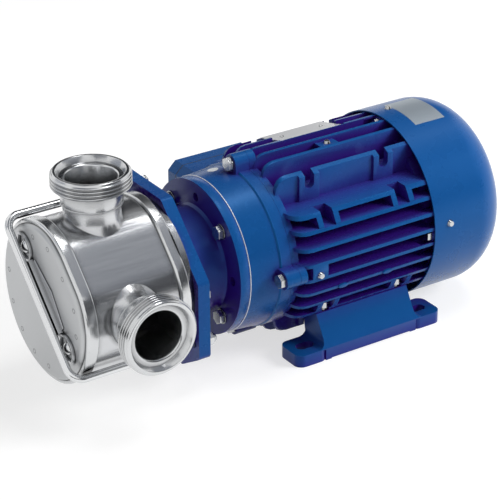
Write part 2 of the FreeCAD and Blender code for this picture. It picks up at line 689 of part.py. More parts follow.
def fan():
    hub = cylinder("fan_hub", "fan_width", on_axis("fan_x"))
    disc = cylinder("fan_disc", "fan_sheet", on_axis("fan_x"))
    count = int(size("fan_blades"))
    blades = [spoke("fan_x", "fan_width", "fan_sheet", "fan_hub - 2", "fan_radius", i * 360 / count)
              for i in range(count)]
    bore = cylinder("fan_shaft + fit", "fan_width", on_axis("fan_x"))
    node("fan", cut(fuse(hub, disc, *blades), bore))
    node("fan_clip", ring("clip_radius", "fan_shaft + fit", "clip_thick",
                          on_axis("fan_x + fan_width")))


def fan_cowl():
    outer = cowl_drum("cowl_radius", "cowl_end", "cowl_round")
    inner = cowl_drum("cowl_radius - cowl_sheet", "cowl_end - cowl_sheet",
                      "cowl_round - cowl_sheet")
    count = int(size("grille_slots"))
    tools = [spoke("cowl_end - 3 * cowl_sheet", "4 * cowl_sheet", "grille_width",
                   "grille_inner", "grille_outer", i * 360 / count) for i in range(count)]
    tools += [cylinder("screw_radius + clearance", "3 * cowl_sheet",
                       ("cowl_screw_x",) + polar("cowl_radius - 2 * cowl_sheet", a), radial(a))
              for a in COWL_SCREWS]
    node("fan_cowl", cut(outer, inner, *tools))
    seats = [("cowl_screw_x",) + polar("cowl_radius", a) for a in COWL_SCREWS]
    node("cowl_screws", group([
        screw(seat, radial(a), radial(a + 180), "cowl_screw_length - 1")
        for seat, a in zip(seats, COWL_SCREWS)]))


def cowl_drum(radius, end, rounding):
    drum = turned([("cowl_front", "0"), ("cowl_front", radius), (end, radius), (end, "0")])
    doc.recompute()
    return round_edges(drum, rounding, lies_at(drum.Tip.Shape.BoundBox.XMax))


# Feet

def foot(side):
    """One foot: a flange under the ledge, a slanting web, end walls, ribs and two pads."""
    low = "axis_height - ledge_z - flange_thick"
    top = "axis_height - ledge_z"
    half = "foot_width / 2"

    def profile(points, start, length):
        sided = [("%d * (%s)" % (side, y), z) for y, z in points]
        return extruded(sided, start, length)

    slope = "(foot_width / 2 - flange_out) / (axis_height - ledge_z - foot_thick) * flange_thick"
    web = profile([("flange_in", low), ("flange_in", top), ("flange_out", top),
                   (half, "foot_thick"), (half, "foot_relief"),
                   (half + " - foot_bar", "foot_relief"), (half + " - foot_bar", "foot_thick"),
                   (half + " - foot_web", "foot_thick"),
                   ("flange_out + %s - foot_web" % slope, low)],
                  "-foot_web_half", "2 * foot_web_half")
    parts = [web]
    inside = half + " - foot_pad"
    for start in ("-foot_web_half", "foot_web_half - foot_end_wall"):
        parts.append(profile([("flange_in", low), ("flange_in", top), ("flange_out", top),
                              (half, "foot_thick"), (half, "0"), (inside, "0"),
                              (inside, "foot_thick")], start, "foot_end_wall"))
    for x in (-1, 1):
        parts.append(profile([("flange_in + 3", low + " + 2"), ("flange_out - 2", low + " + 2"),
                              (half + " - 4", "foot_thick - 2"),
                              (half + " - foot_bar", "foot_thick - 2"),
                              ("flange_in + 3", low + " - 4")],
                             "%d * foot_rib_x - foot_rib / 2" % x, "foot_rib"))
        parts += [foot_pad(x, side), foot_blend(x, side)]
    node("foot_left" if side < 0 else "foot_right", cut(fuse(*parts), *foot_holes(side)))


def foot_pad(x, side):
    start, length = span("foot_length / 2 - foot_pad", "foot_length / 2", x)
    deep, width = span("foot_width / 2 - foot_pad", "foot_width / 2", side)
    end_x, end_y = "%s + %s" % (start, length), "%s + %s" % (deep, width)
    pad = extruded([(start, deep), (end_x, deep), (end_x, end_y), (start, end_y)],
                   "0", "foot_thick", "XY_Plane")
    return round_edges(pad, "foot_pad_round", stands_up)


def foot_blend(x, side):
    """Hollow run from the end wall down to the pad."""
    deep, width = span("foot_width / 2 - foot_pad", "foot_width / 2", side)
    wall = "%d * (foot_web_half - 1)" % x
    points = [(wall, "foot_thick - 1"), (wall, "foot_thick + foot_blend"),
              ("%d * foot_web_half" % x, "foot_thick + foot_blend"),
              ("%d * (foot_web_half + foot_blend * 0.134)" % x, "foot_thick + foot_blend / 2"),
              ("%d * (foot_web_half + foot_blend / 2)" % x, "foot_thick + foot_blend * 0.134"),
              ("%d * (foot_web_half + foot_blend)" % x, "foot_thick"),
              ("%d * (foot_web_half + foot_blend)" % x, "foot_thick - 1")]
    body = extruded(points, "0", width, "XZ_Plane", ("0", "%s + %s" % (deep, width), "0"))
    lean = math.degrees(math.atan2(size("foot_width") / 2 - size("flange_out"),
                                   size("axis_height") - size("ledge_z") - size("foot_thick")))
    outside = box("foot_length", "foot_width", "foot_width",
                  ("-foot_length / 2", "%d * foot_width / 2" % side, "foot_thick"),
                  Rotation(Vector(1, 0, 0), lean if side > 0 else 90 - lean))
    return cut(body, outside)


def foot_holes(side):
    tools = []
    for x in (-1, 1):
        y = "%d * foot_hole_y / 2" % side
        middle = "%d * foot_hole_x / 2" % x
        shift = "(foot_slot - foot_hole) / 2"
        deep = "foot_thick + foot_blend"
        tools.append(box("foot_slot - foot_hole", "foot_hole", deep,
                         ("%s - %s" % (middle, shift), "%s - foot_hole / 2" % y, "0")))
        for sign in "+-":
            tools.append(cylinder("foot_hole / 2", deep,
                                  ("%s %s %s" % (middle, sign, shift), y, "0"), ALONG_Z))
        at = ("%d * foot_bolt_x" % x, "%d * foot_bolt_y" % side)
        seat = "axis_height - ledge_z - flange_thick"
        tools.append(cylinder("bolt_radius + clearance", "flange_thick", at + (seat,), ALONG_Z))
        tools.append(cylinder("head_pocket", "bolt_head_height + 4",
                              at + (seat + " - bolt_head_height - 4",), ALONG_Z))
    return tools


def foot_fasteners():
    bolts, nuts = [], []
    for x in (-1, 1):
        for y in (-1, 1):
            at = ("%d * foot_bolt_x" % x, "%d * foot_bolt_y" % y)
            seat = at + ("axis_height - ledge_z - flange_thick",)
            bolts.append(bolt(seat, AGAINST_Z, "foot_bolt_length", ALONG_Z))
            low = at + ("axis_height - ledge_z + corner_wall",)
            flats = Rotation(Vector(0, 0, 1), 30)
            nuts.append(cut(hexagon("bolt_head", "nut_height", low, flats),
                            cylinder("bolt_radius + thread_gap", "nut_height", low, ALONG_Z)))
    node("foot_bolts", group(bolts))
    node("foot_nuts", group(nuts))


# Terminal box

def box_outline(inset, corner):
    """Eight-sided outline in X and Z."""
    left, right = "box_x + " + inset, "box_x + box_length - " + inset
    low, high = "axis_height - box_half + " + inset, "axis_height + box_half - " + inset
    return [(left, low + " + " + corner), (left + " + " + corner, low),
            (right + " - " + corner, low), (right, low + " + " + corner),
            (right, high + " - " + corner), (right + " - " + corner, high),
            (left + " + " + corner, high), (left, high + " - " + corner)]


def box_layer(inset, corner, start, length):
    at = ("0", "%s + %s" % (start, length), "0")
    return extruded(box_outline(inset, corner), "0", length, "XZ_Plane", at)


def box_screw_points():
    middle = "box_x + box_length / 2"
    return [("%s + %d * box_screw_x" % (middle, x), "axis_height + %d * box_screw_z" % z)
            for x in (-1, 1) for z in (-1, 1)]


def lid_screw_points():
    return [(x, z) for x in ("box_x + lid_screw_in", "box_x + box_length - lid_screw_in")
            for z in ("axis_height - box_half + lid_screw_in",
                      "axis_height + box_half - lid_screw_in")]


def lid_holes(seam):
    """Holes for the lid's screws, through the gasket and the lid."""
    return [cylinder("screw_radius + clearance", "lid_depth + gasket_sheet", (x, seam, z), ALONG_Y)
            for x, z in lid_screw_points()]


def terminal_box():
    seam = "box_y + box_depth"
    lid = seam + " + gasket_sheet"
    top = lid + " + lid_depth"
    gland_x, gland_y = "box_x + box_length / 2", "box_y + (box_depth + box_wall) / 2"
    low = "axis_height - box_half"
    small = "screw_radius + thread_gap"
    tools = [box_layer("box_wall", "post_cut", "box_y + box_wall", "box_depth"),
             cylinder("gland_hole", "2 * box_wall", (gland_x, gland_y, low + " - box_wall"),
                      ALONG_Z)]
    tools += [cylinder("screw_radius + clearance", "2 * box_wall", (x, "box_y - box_wall / 2", z),
                       ALONG_Y) for x, z in box_screw_points()]
    reach = "lid_screw_length - lid_depth - gasket_sheet + 1"
    tools += [cylinder(small, reach, (x, "%s - (%s)" % (seam, reach), z), ALONG_Y)
              for x, z in lid_screw_points()]
    node("terminal_box", cut(box_layer("0", "box_cut", "box_y", "box_depth"), *tools))
    open_gasket = box_layer("box_wall", "post_cut", seam + " - 1", "gasket_sheet + 2")
    node("box_gasket", cut(box_layer("0", "box_cut", seam, "gasket_sheet"), open_gasket,
                           *lid_holes(seam)))
    lid_room = box_layer("box_wall", "post_cut", lid + " - 1", "lid_depth - box_wall + 1")
    node("box_lid", cut(box_layer("0", "box_cut", lid, "lid_depth"), lid_room, *lid_holes(seam)))
    node("lid_screws", group([screw((x, top, z), ALONG_Y, AGAINST_Y, "lid_screw_length")
                              for x, z in lid_screw_points()]))
    node("box_screws", group([screw((x, "box_y + box_wall", z), ALONG_Y, AGAINST_Y,
                                    "screw_length - 1") for x, z in box_screw_points()]))
    node("terminal_block", box(
        "block_length - 16", "block_height", "block_width",
        (gland_x + " - block_length / 2 + 8", "box_y + box_wall", "axis_height - block_width / 2")))
    gland = turned([("-box_wall - 5", "gland_bore"), ("-box_wall - 5", "gland_hole - fit"),
                    ("0", "gland_hole - fit"), ("0", "gland_radius"),
                    ("gland_length - 5", "gland_radius"), ("gland_length", "gland_radius - 3"),
                    ("gland_length", "gland_bore")], (gland_x, gland_y, low),
                   Rotation(Vector(1, 0, 0), Vector(0, 0, -1)))
    nut = cut(hexagon("gland_hex", "gland_hex_length", (gland_x, gland_y, low), AGAINST_Z),
              cylinder("gland_radius - 1", "gland_hex_length", (gland_x, gland_y, low), AGAINST_Z))
    node("cable_gland", fuse(gland, nut))


# Lantern between the pump and the motor

def lantern():
    half, small, wide = "plate_half", "plate_half - plate_cut_small", "plate_half - plate_cut_wide"
    large = "plate_half - plate_cut_large"
    y_z = [("-" + half, "-(%s)" % small), ("-(%s)" % wide, "-" + half),
           (small, "-" + half), (half, "-(%s)" % small), (half, wide), (small, half),
           ("-(%s)" % large, half), ("-" + half, large)]
    plate = extruded([(y, "axis_height + " + z) for y, z in y_z], "plate_front", "plate_thick")
    round_edges(plate, "plate_round", runs_along_x)
    rear = "plate_front + plate_thick"
    flange = "face_x - lantern_flange"
    neck = turned([
        (rear + " - overlap", "0"), (rear + " - overlap", "neck_foot"),
        (rear, "neck_foot"), (rear + " + 6", "neck_radius + 1"),
        (rear + " + 9", "neck_radius"), (flange + " - 3", "neck_radius"),
        (flange, "neck_collar"), (flange, "face_radius"), ("face_x", "face_radius"),
        ("face_x", "0")])
    tools = [
        cylinder("plug_radius + thread_gap", "plug_room", on_axis("plate_front")),
        cylinder("neck_bore", "face_x - plate_front", on_axis("plate_front")),
        cylinder("spigot_radius + thread_gap", "spigot_length", on_axis("face_x - spigot_length")),
        cylinder("leak_hole", "neck_foot", on_axis("leak_x"), AGAINST_Z)]
    tools += [cylinder("bolt_radius + clearance", "lantern_flange",
                       (flange,) + polar("bolt_circle", angle)) for angle in range(0, 360, 45)]
    tools += [cylinder("bolt_radius + clearance", "plate_thick",
                       ("plate_front",) + polar("casing_bolt_circle", a)) for a in QUARTERS]
    for side in (-1, 1):
        at = head_point("%d * bail_reach" % side, "rail_offset")
        tools.append(cylinder("rod_radius + bail_hole_gap", "plate_thick", ("plate_front",) + at))
        tools.append(cylinder("spring_pocket", "spring_room",
                              ("plate_front + plate_thick - spring_room",) + at))
    node("lantern", cut(fuse(plate, neck), *tools))
    faces = [polar("bolt_circle", angle) for angle in DIAGONALS]
    node("lantern_bolts", group([bolt((flange + " - washer_thick",) + at, AGAINST_X,
                                      "face_bolt_length", ALONG_X) for at in faces]))
    node("lantern_washers", group([washer((flange + " - washer_thick",) + at) for at in faces]))
    node("casing_bolts", group([
        bolt((rear,) + polar("casing_bolt_circle", a), ALONG_X, "casing_bolt_length", AGAINST_X)
        for a in QUARTERS]))


# Pump casing and its ports

def pump_casing():
    rear = "plate_front - rear_gap"
    front_ring = cam("casing_wall + ring_step", "casing_front", "front_ring")
    rear_ring = cam("casing_wall + ring_step", rear + " - rear_ring", "rear_ring")
    for body in (front_ring, rear_ring):
        round_edges(body, "ring_round", lambda edge: edge.BoundBox.XLength < 0.01)
    shell = cam("casing_wall", "casing_front + front_ring / 2",
                rear + " - rear_ring / 2 - casing_front - front_ring / 2")
    neck = cylinder("gap_radius", "rear_gap + overlap", (rear + " - overlap", "0", "0"))
    plug = cylinder("plug_radius", "plug_length + overlap", ("plate_front - overlap", "0", "0"))
    outside = [front_ring, rear_ring, shell, neck, plug]
    for angle in (45, 135):
        root = ("port_x",) + off_axis("stub_start", angle)
        outside.append(cylinder("stub_radius", "stub_end - stub_start", root, radial(angle)))
        outside.append(cone("flare_radius", "stub_radius", "flare_end - stub_start", root,
                            radial(angle)))
    chamber = cam("0", "casing_front - 1", "chamber_back - casing_front + 1")
    rebate = cam("cover_land + cover_gap", "casing_front - 1", "1 + cover_thick / 2")
    tools = [chamber, rebate,
             cylinder("seat_radius + fit", "seat_length", ("chamber_back", "0", "0")),
             cylinder("shaft_hole", "back_wall", ("chamber_back", "0", "0")),
             cylinder("seal_room", "plate_front + plug_length - chamber_back - back_wall",
                      ("chamber_back + back_wall", "0", "0"))]
    for angle in (45, 135):
        tools.append(cylinder("stub_bore", "stub_end - cam_corner / 2",
                              ("port_x",) + off_axis("cam_corner / 2", angle), radial(angle)))
    length = "casing_bolt_length - plate_thick + 1"
    for angle in QUARTERS:
        tools.append(cylinder("bolt_radius + thread_gap", length,
                              ("plate_front - (%s)" % length,)
                              + off_axis("casing_bolt_circle", angle - HEAD_TURN)))
    node("pump_casing", head_place(cut(fuse(*outside), *tools)))


def union(name, direction):
    """Threaded dairy union on the end of a port."""
    thread = "port_reach - thread_length"
    body = turned([
        ("stub_end", "port_bore"), ("stub_end", "collar_radius"), (thread, "collar_radius"),
        (thread, "thread_radius - thread_edge"), (thread + " + thread_edge", "thread_radius"),
        ("port_reach - thread_edge", "thread_radius"),
        ("port_reach", "thread_radius - thread_edge"), ("port_reach", "recess_radius"),
        ("port_reach - recess_depth", "recess_floor"), ("port_reach - recess_depth", "port_bore")],
        ("port_x", "0", "axis_height"), Rotation(Vector(1, 0, 0), Vector(*direction)))
    node(name, body)


def cover():
    seat = "casing_front + cover_thick / 2"
    face = "%s - gasket_thick - cover_thick" % seat
    gasket = cut(cam("cover_land", seat + " - gasket_thick", "gasket_thick"),
                 cam("0", seat + " - gasket_thick", "gasket_thick"))
    node("cover_gasket", head_place(gasket))
    lid = cam("cover_land", face, "cover_thick")
    doc.recompute()
    round_edges(lid, "cover_round", lies_at(lid.Tip.Shape.BoundBox.XMin))
    node("front_cover", head_place(lid))
    rail(face)


def rail(face):
    """Welded rib with an eye-shaped rim at each end and a domed stud in each eye."""
    end, widest = "rail_base_end / 2", "rail_base_width / 2"
    base = extruded([(y, "rail_offset + " + z) for y, z in (
        ("-rail_base_half", "-" + end), ("0", "-" + widest), ("rail_base_half", "-" + end),
        ("rail_base_half", end), ("0", widest), ("-rail_base_half", end))],
        face + " - rail_base", "rail_base")
    rib = box("rail_height", "2 * rail_half", "rail_width",
              (face + " - rail_height", "-rail_half", "rail_offset - rail_width / 2"))
    eyes = [cut(lens(side, "0", face), lens(side, "eye_wall", face)) for side in (-1, 1)]
    node("cover_rail", head_place(fuse(base, rib, *eyes)))
    studs = []
    curve = "(stud_radius ^ 2 + stud_dome ^ 2) / (2 * stud_dome)"
    for side in (-1, 1):
        at = ("%d * eye_pitch" % side, "rail_offset")
        centre = "%s - stud_height + %s" % (face, curve)
        studs.append(common(cylinder("stud_radius", "stud_height", (face + " - stud_height",) + at),
                            ball(curve, (centre,) + at)))
    node("rail_studs", head_place(group(studs)))


def lens(side, inset, face):
    """Pointed oval between two equal arcs."""
    curve = "(eye_half_length ^ 2 + eye_half_width ^ 2) / (2 * eye_half_width)"
    offset = "(%s - eye_half_width)" % curve
    y = "%d * eye_pitch" % side
    discs = [cylinder("%s - %s" % (curve, inset), "eye_height",
                      (face + " - eye_height", y, "rail_offset %s %s" % (sign, offset)))
             for sign in "+-"]
    return common(*discs)


def bail():
    """Bent rod over the cover, drawn back by nuts on disc springs in the lantern plate."""
    cover_face = "casing_front + cover_thick / 2 - gasket_thick - cover_thick"
    middle = "%s - rail_height - bail_gap - rod_radius" % cover_face
    corner = middle + " + bail_bend"
    parts = [cylinder("rod_radius", "2 * (bail_reach - bail_bend)",
                      (middle, "-(bail_reach - bail_bend)", "rail_offset"), ALONG_Y)]
    for side, turn in ((1, 90), (-1, 180)):
        bend = doc.addObject("Part::Torus", "Bend")
        bind(bend, "Radius1", "bail_bend")
        bind(bend, "Radius2", "rod_radius")
        bend.Angle3 = 90
        parts.append(place(bend, (corner, "%d * (bail_reach - bail_bend)" % side, "rail_offset"),
                           Rotation(Vector(0, 0, 1), turn)))
        parts.append(cylinder("rod_radius", "rod_end - (%s)" % corner,
                              (corner, "%d * bail_reach" % side, "rail_offset")))
    node("bail", head_place(fuse(*parts)))
    rear = "plate_front + plate_thick"
    springs, washers, nuts = [], [], []
    for side in (-1, 1):
        at = head_point("%d * bail_reach" % side, "rail_offset")
        springs.append(disc_springs(at))
        washers.append(ring("bolt_washer", "rod_radius + fit", "washer_thick",
                            (rear + " - washer_thick",) + at))
        nuts.append(cap_nut((rear,) + at))
    node("bail_springs", group(springs))
    node("bail_washers", group(washers))
    node("bail_nuts", group(nuts))


def disc_springs(at):
    """Stack of disc springs between the pocket floor and the washer."""
    floor = "plate_front + plate_thick - spring_room"
    fold = "(spring_room - washer_thick) / (2 * spring_folds)"
    count = int(size("spring_folds"))
    wave = [("%d * %s" % (i, fold), "spring_radius" if i % 2 else "spring_neck")
            for i in range(2 * count + 1)]
    ends = [("%d * %s" % (2 * count, fold), "rod_radius + clearance"),
            ("0", "rod_radius + clearance")]
    return turned(wave + ends, (floor,) + at)


def cap_nut(at):
    x, y, z = at
    hexa = hexagon("bolt_head", "cap_nut_length", at)
    dome = ball("cap_dome", (x + " + cap_nut_length", y, z))
    return cut(fuse(hexa, dome),
               cylinder("rod_radius + thread_gap", "rod_end - (%s) + clearance" % x, at))


# Impeller, shaft seal and pump shaft

def impeller():
    hub_front = "impeller_front + hub_recess"
    hub_back = "chamber_back - impeller_gap - seal_pocket_depth"
    hub = ring("hub_radius", "shaft_front + fit", "%s - (%s)" % (hub_back, hub_front),
               on_axis(hub_front))
    node("impeller_hub", cut(hub, hub_key()))
    node("impeller_key", hub_key())
    length = "chamber_back - impeller_gap - impeller_front"
    core = cylinder("core_rubber", length, ("impeller_front", "0", "0"))
    blades = [part for i in range(int(size("vanes"))) for part in vane(i, length)]
    pocket = cylinder("seal_pocket", "seal_pocket_depth", (hub_back, "0", "0"))
    bore = cylinder("hub_radius", length, ("impeller_front", "0", "0"))
    node("impeller_vanes", head_place(cut(fuse(core, *blades), pocket, bore)))
    node("impeller_washer", ring("impeller_washer", "bolt_radius + clearance / 2",
                                 "impeller_washer_thick",
                                 on_axis(hub_front + " - impeller_washer_thick")))
    node("impeller_screw", bolt(on_axis(hub_front + " - impeller_washer_thick"), AGAINST_X,
                                "impeller_bolt_length", ALONG_X))


def vane(index, length):
    """One leaning vane with a round tip. The two beside the flat are shorter."""
    angle = "(90 + vane_offset + %d * 360 / vanes)" % index
    root = "(%s - vane_lean)" % angle
    reach = "(chamber_radius - vane_tip - tip_gap)"
    if index in (0, 7):
        reach = flat_reach()
    tip = off_axis(reach, angle)
    blade = extruded([off_axis("vane_root_radius", root, "-vane_root"),
                      off_axis(reach, angle, "-vane_neck"), off_axis(reach, angle, "vane_neck"),
                      off_axis("vane_root_radius", root, "vane_root")],
                     "impeller_front", length)
    return [blade, cylinder("vane_tip", length, ("impeller_front",) + tip)]


def flat_reach():
    """Radius of a vane tip that just clears the soft corner of the flat."""
    flat = "(cam_flat - cam_corner)"
    across = "sqrt((chamber_radius - cam_corner) ^ 2 - %s ^ 2)" % flat
    along = "(%s * sin(vane_offset) + %s * cos(vane_offset))" % (across, flat)
    inner = "(cam_corner - vane_tip - tip_gap)"
    return "(%s + sqrt(%s ^ 2 - (chamber_radius - cam_corner) ^ 2 + %s ^ 2))" % (
        along, inner, along)


def hub_key():
    return key("hub_key_x", "shaft_front")


def sleeve_key():
    return key("sleeve_key_x", "motor_end")


def key(x, radius):
    """Flat key that lies half in a shaft of this radius."""
    return box("key_length", "key_width", "key_height",
               (x, "-key_width / 2", "axis_height + %s - key_height / 2" % radius))


def shaft_seal():
    node("seal_seat", ring("seat_radius", "seat_bore", "seat_length", on_axis("chamber_back")))
    ring_x = "chamber_back - face_gap - seal_length"
    node("seal_ring", ring("seal_radius", "shaft_front + thread_gap", "seal_length",
                           on_axis(ring_x)))
    start = "chamber_back - impeller_gap - seal_pocket_depth"
    node("seal_spring", ring("seal_spring_radius", "shaft_front + clearance",
                             "%s - (%s)" % (ring_x, start), on_axis(start)))


def pump_shaft():
    front = "impeller_front + hub_recess + shaft_end_gap"
    shoulder = "chamber_back + back_wall + shoulder_gap"
    shaft = turned([(front, "0"), (front, "shaft_front - 1"), (front + " + 1", "shaft_front"),
                    (shoulder, "shaft_front"), (shoulder, "shaft_mid"),
                    ("sleeve_start", "shaft_mid"), ("sleeve_start", "sleeve_radius"),
                    ("sleeve_end", "sleeve_radius"), ("sleeve_end", "0")])
    screw_hole = "impeller_bolt_length - impeller_washer_thick + 1"
    tools = [
        cylinder("motor_end + fit", "sleeve_end - motor_end_x + 1", on_axis("motor_end_x - 1")),
        cylinder("bolt_radius + thread_gap", screw_hole, on_axis("impeller_front + hub_recess")),
        hub_key(), sleeve_key()]
    for index in (0, 1):
        tools.append(set_screw(index, "set_screw + thread_gap", "sleeve_radius"))
    node("pump_shaft", cut(shaft, *tools))
    node("shaft_key", sleeve_key())
    node("coupling_screws", group([
        set_screw(i, "set_screw", "set_screw_length") for i in (0, 1)]))


def set_screw(index, radius, length):
    x = "set_screw_x - %d * set_screw_pitch" % index
    return cylinder(radius, length, (x,) + polar("motor_end + thread_gap", 0), radial(0))


def bearing_spring():
    node("bearing_spring", ring("bearing_outer - clearance", "spring_ring_bore",
                                "spring_ring_thick", on_axis("rear_bearing_x + bearing_width")))


stator_frame()
frame_details()
drive_end_shield()
rear_end_shield()
windings()
motor_shaft()
bearing("front", "front_bearing_x")
bearing("rear", "rear_bearing_x")
bearing_spring()
fan()
fan_cowl()
foot(-1)
foot(1)
foot_fasteners()
terminal_box()
lantern()
pump_casing()
union("top_union", (0, 0, 1))
union("side_union", (0, -1, 0))
cover()
bail()
impeller()
shaft_seal()
pump_shaft()
doc.recompute()

failed = [thing.Label for thing in doc.Objects
          if "Invalid" in thing.State or "Error" in thing.State]
failed += [thing.Label for thing in NODES
           if thing.Shape.isNull() or not thing.Shape.isValid() or not thing.Shape.Solids]
if failed:
    raise RuntimeError("failed pieces: " + ", ".join(failed))

os.makedirs("parts", exist_ok=True)
for thing in NODES:
    thing.Shape.exportStep("parts/%s.step" % thing.Label)
print(len(NODES), "sub-parts")
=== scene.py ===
# %% [markdown]
# A flexible impeller pump, dressed for the studio
#
# The pump is a stainless head bolted to a blue cast lantern and a finned electric motor. Its
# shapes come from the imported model, and this notebook gives them edges, finishes and light.
# Blender counts in metres. Small sizes are given in millimetres here, as on a drawing, and MM
# turns them into metres. The shaft runs along X, from the pump head to the fan.

# %% Load the frame
import bmesh
import bpy
import json
import math
from mathutils import Matrix, Quaternion, Vector

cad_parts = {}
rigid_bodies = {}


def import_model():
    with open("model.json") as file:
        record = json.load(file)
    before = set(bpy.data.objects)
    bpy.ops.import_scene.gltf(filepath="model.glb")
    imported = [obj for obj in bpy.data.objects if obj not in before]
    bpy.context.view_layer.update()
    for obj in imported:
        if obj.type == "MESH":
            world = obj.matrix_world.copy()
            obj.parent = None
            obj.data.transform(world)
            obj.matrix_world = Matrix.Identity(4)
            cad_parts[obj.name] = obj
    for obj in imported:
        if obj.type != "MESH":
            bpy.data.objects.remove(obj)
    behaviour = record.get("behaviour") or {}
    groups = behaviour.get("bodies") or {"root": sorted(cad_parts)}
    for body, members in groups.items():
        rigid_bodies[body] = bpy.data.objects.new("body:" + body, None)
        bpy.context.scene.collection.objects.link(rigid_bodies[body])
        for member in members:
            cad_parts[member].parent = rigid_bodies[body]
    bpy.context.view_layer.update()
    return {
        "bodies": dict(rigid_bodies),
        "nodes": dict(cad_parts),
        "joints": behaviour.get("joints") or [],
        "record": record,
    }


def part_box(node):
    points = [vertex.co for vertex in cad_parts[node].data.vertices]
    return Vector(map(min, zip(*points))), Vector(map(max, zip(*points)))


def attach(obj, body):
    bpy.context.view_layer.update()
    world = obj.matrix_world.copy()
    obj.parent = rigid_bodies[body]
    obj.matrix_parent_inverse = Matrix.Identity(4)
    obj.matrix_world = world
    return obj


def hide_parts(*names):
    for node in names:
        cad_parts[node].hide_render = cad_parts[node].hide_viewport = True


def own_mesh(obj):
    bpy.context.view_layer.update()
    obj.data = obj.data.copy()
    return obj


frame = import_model()
MM = 0.001
bpy.context.scene.view_settings.view_transform = "Standard"

# %% [markdown]
# Camera
#
# The photograph looks down on the pump from its side port, with a long lens, so parallel edges
# hardly meet. A camera could be moved by eye until the picture looks alike, but then a wrong
# lens can hide behind a wrong place. So both were fitted at once, to the port rings, the cowl
# and the foot.

# %% Camera
CAMERA_PLACE = Vector((-1.12282, -1.58222, 1.04098))
CAMERA_AIM = Vector((-0.08173, 0, 0.08946))
CAMERA_ROLL = math.radians(-0.34)
CAMERA_LENS, SENSOR_WIDTH = 151.59, 36
camera = bpy.data.objects.new("camera", bpy.data.cameras.new("camera"))
bpy.context.scene.collection.objects.link(camera)
bpy.context.scene.camera = camera
camera.data.lens, camera.data.sensor_width = CAMERA_LENS, SENSOR_WIDTH
camera.data.clip_start, camera.data.clip_end = 0.05, 50
camera.location = CAMERA_PLACE
aim = CAMERA_AIM - CAMERA_PLACE
camera.rotation_mode = "QUATERNION"
camera.rotation_quaternion = aim.to_track_quat("-Z", "Y") @ Quaternion((0, 0, 1), CAMERA_ROLL)
print("camera", round(aim.length, 3), "m from the pump")

# %% [markdown]
# Floor and light
#
# A catalogue picture stands on white. The floor glows a little where the camera or a mirror
# sees it, so it looks white and still shows a soft shadow. That glow lights nothing. The sky
# gives even light, and lamps give shape.


# %% Node helper
def shader(block):
    """Empty the nodes of a material or world, and return what makes and joins new ones."""
    block.use_nodes = True
    tree = block.node_tree
    tree.nodes.clear()

    def node(kind, **values):
        """A new node, with each value set on its socket or else on the node itself."""
        made = tree.nodes.new(kind)
        for key, value in values.items():
            if key in made.inputs:
                made.inputs[key].default_value = value
            else:
                setattr(made, key, value)
        return made

    return node, tree.links.new


# %% Mixing helpers
def rgba(colour):
    """A colour with the fourth number that its socket asks for."""
    return tuple(colour) + (1,)


def mix_shaders(node, link, factor, first, second):
    """The first shader where the factor is zero, and the second where it is one."""
    mix = node("ShaderNodeMixShader")
    for output, socket in zip((factor, first.outputs[0], second.outputs[0]), mix.inputs):
        link(output, socket)
    return mix


# %% Background rays
def seen_directly(node, link):
    """One for the rays that show the background: camera, mirror and glass rays."""
    path = node("ShaderNodeLightPath")
    share = path.outputs["Is Camera Ray"]
    for ray in ("Is Glossy Ray", "Is Transmission Ray"):
        either = node("ShaderNodeMath", operation="MAXIMUM")
        link(share, either.inputs[0])
        link(path.outputs[ray], either.inputs[1])
        share = either.outputs[0]
    return share


# %% [markdown]
# Sky
#
# The sky is a plain white dome. It lights the pump at part of its strength, because full white
# from every side would leave no shade on it. Rays that look straight at the sky, or see it in
# a mirror, find it fully white. A studio picture could be wrapped round instead, but the flags
# below do that work and stay easy to move.

# %% Sky
SKY_LIGHT = 0.38
WHITE = (1, 1, 1, 1)
world = bpy.data.worlds.new("studio")
bpy.context.scene.world = world
node, link = shader(world)
glow = node("ShaderNodeBackground", Color=WHITE, Strength=SKY_LIGHT)
plain = node("ShaderNodeBackground", Color=WHITE, Strength=1.0)
sky = mix_shaders(node, link, seen_directly(node, link), glow, plain)
link(sky.outputs[0], node("ShaderNodeOutputWorld").inputs[0])
print("sky lights at", SKY_LIGHT, "of what it shows")

# %% [markdown]
# Floor
#
# The floor is one large sheet under the feet. A curved backdrop would do as well, but its bend
# would show in the steel. Near the pump the sheet takes a soft shadow, and further out it fades
# into the white of the sky, so no horizon shows. To the pump itself it is plain matt card, which
# sends some light up to the underside.


# %% Floor sheet
def new_object(name, bm):
    """Turn a bmesh into an object of the scene."""
    mesh = bpy.data.meshes.new(name)
    bm.to_mesh(mesh)
    bm.free()
    made = bpy.data.objects.new(name, mesh)
    bpy.context.scene.collection.objects.link(made)
    return made


FLOOR_REACH = 12
bm = bmesh.new()
bmesh.ops.create_grid(bm, x_segments=2, y_segments=2, size=FLOOR_REACH)
floor = new_object("floor", bm)
print("floor", [round(side) for side in floor.dimensions], "m")

# %% Floor paint
CARD_GREY, SHADED_GREY, LIFT = 0.75, 0.42, 0.66
FADE_FROM, FADE_TO = 0.7, 2.2
floor_paint = bpy.data.materials.new("pale_floor")
node, link = shader(floor_paint)
card = node("ShaderNodeBsdfDiffuse", Color=rgba([CARD_GREY] * 3))
shaded = node("ShaderNodeBsdfDiffuse", Color=rgba([SHADED_GREY] * 3))
lift = node("ShaderNodeEmission", Color=WHITE, Strength=LIFT)
near = node("ShaderNodeAddShader")
link(shaded.outputs[0], near.inputs[0])
link(lift.outputs[0], near.inputs[1])
far = node("ShaderNodeEmission", Color=WHITE, Strength=1.0)
distance = node("ShaderNodeVectorMath", operation="LENGTH")
link(node("ShaderNodeTexCoord").outputs["Object"], distance.inputs[0])
fade = node("ShaderNodeMapRange", **{"From Min": FADE_FROM, "From Max": FADE_TO})
link(distance.outputs["Value"], fade.inputs["Value"])
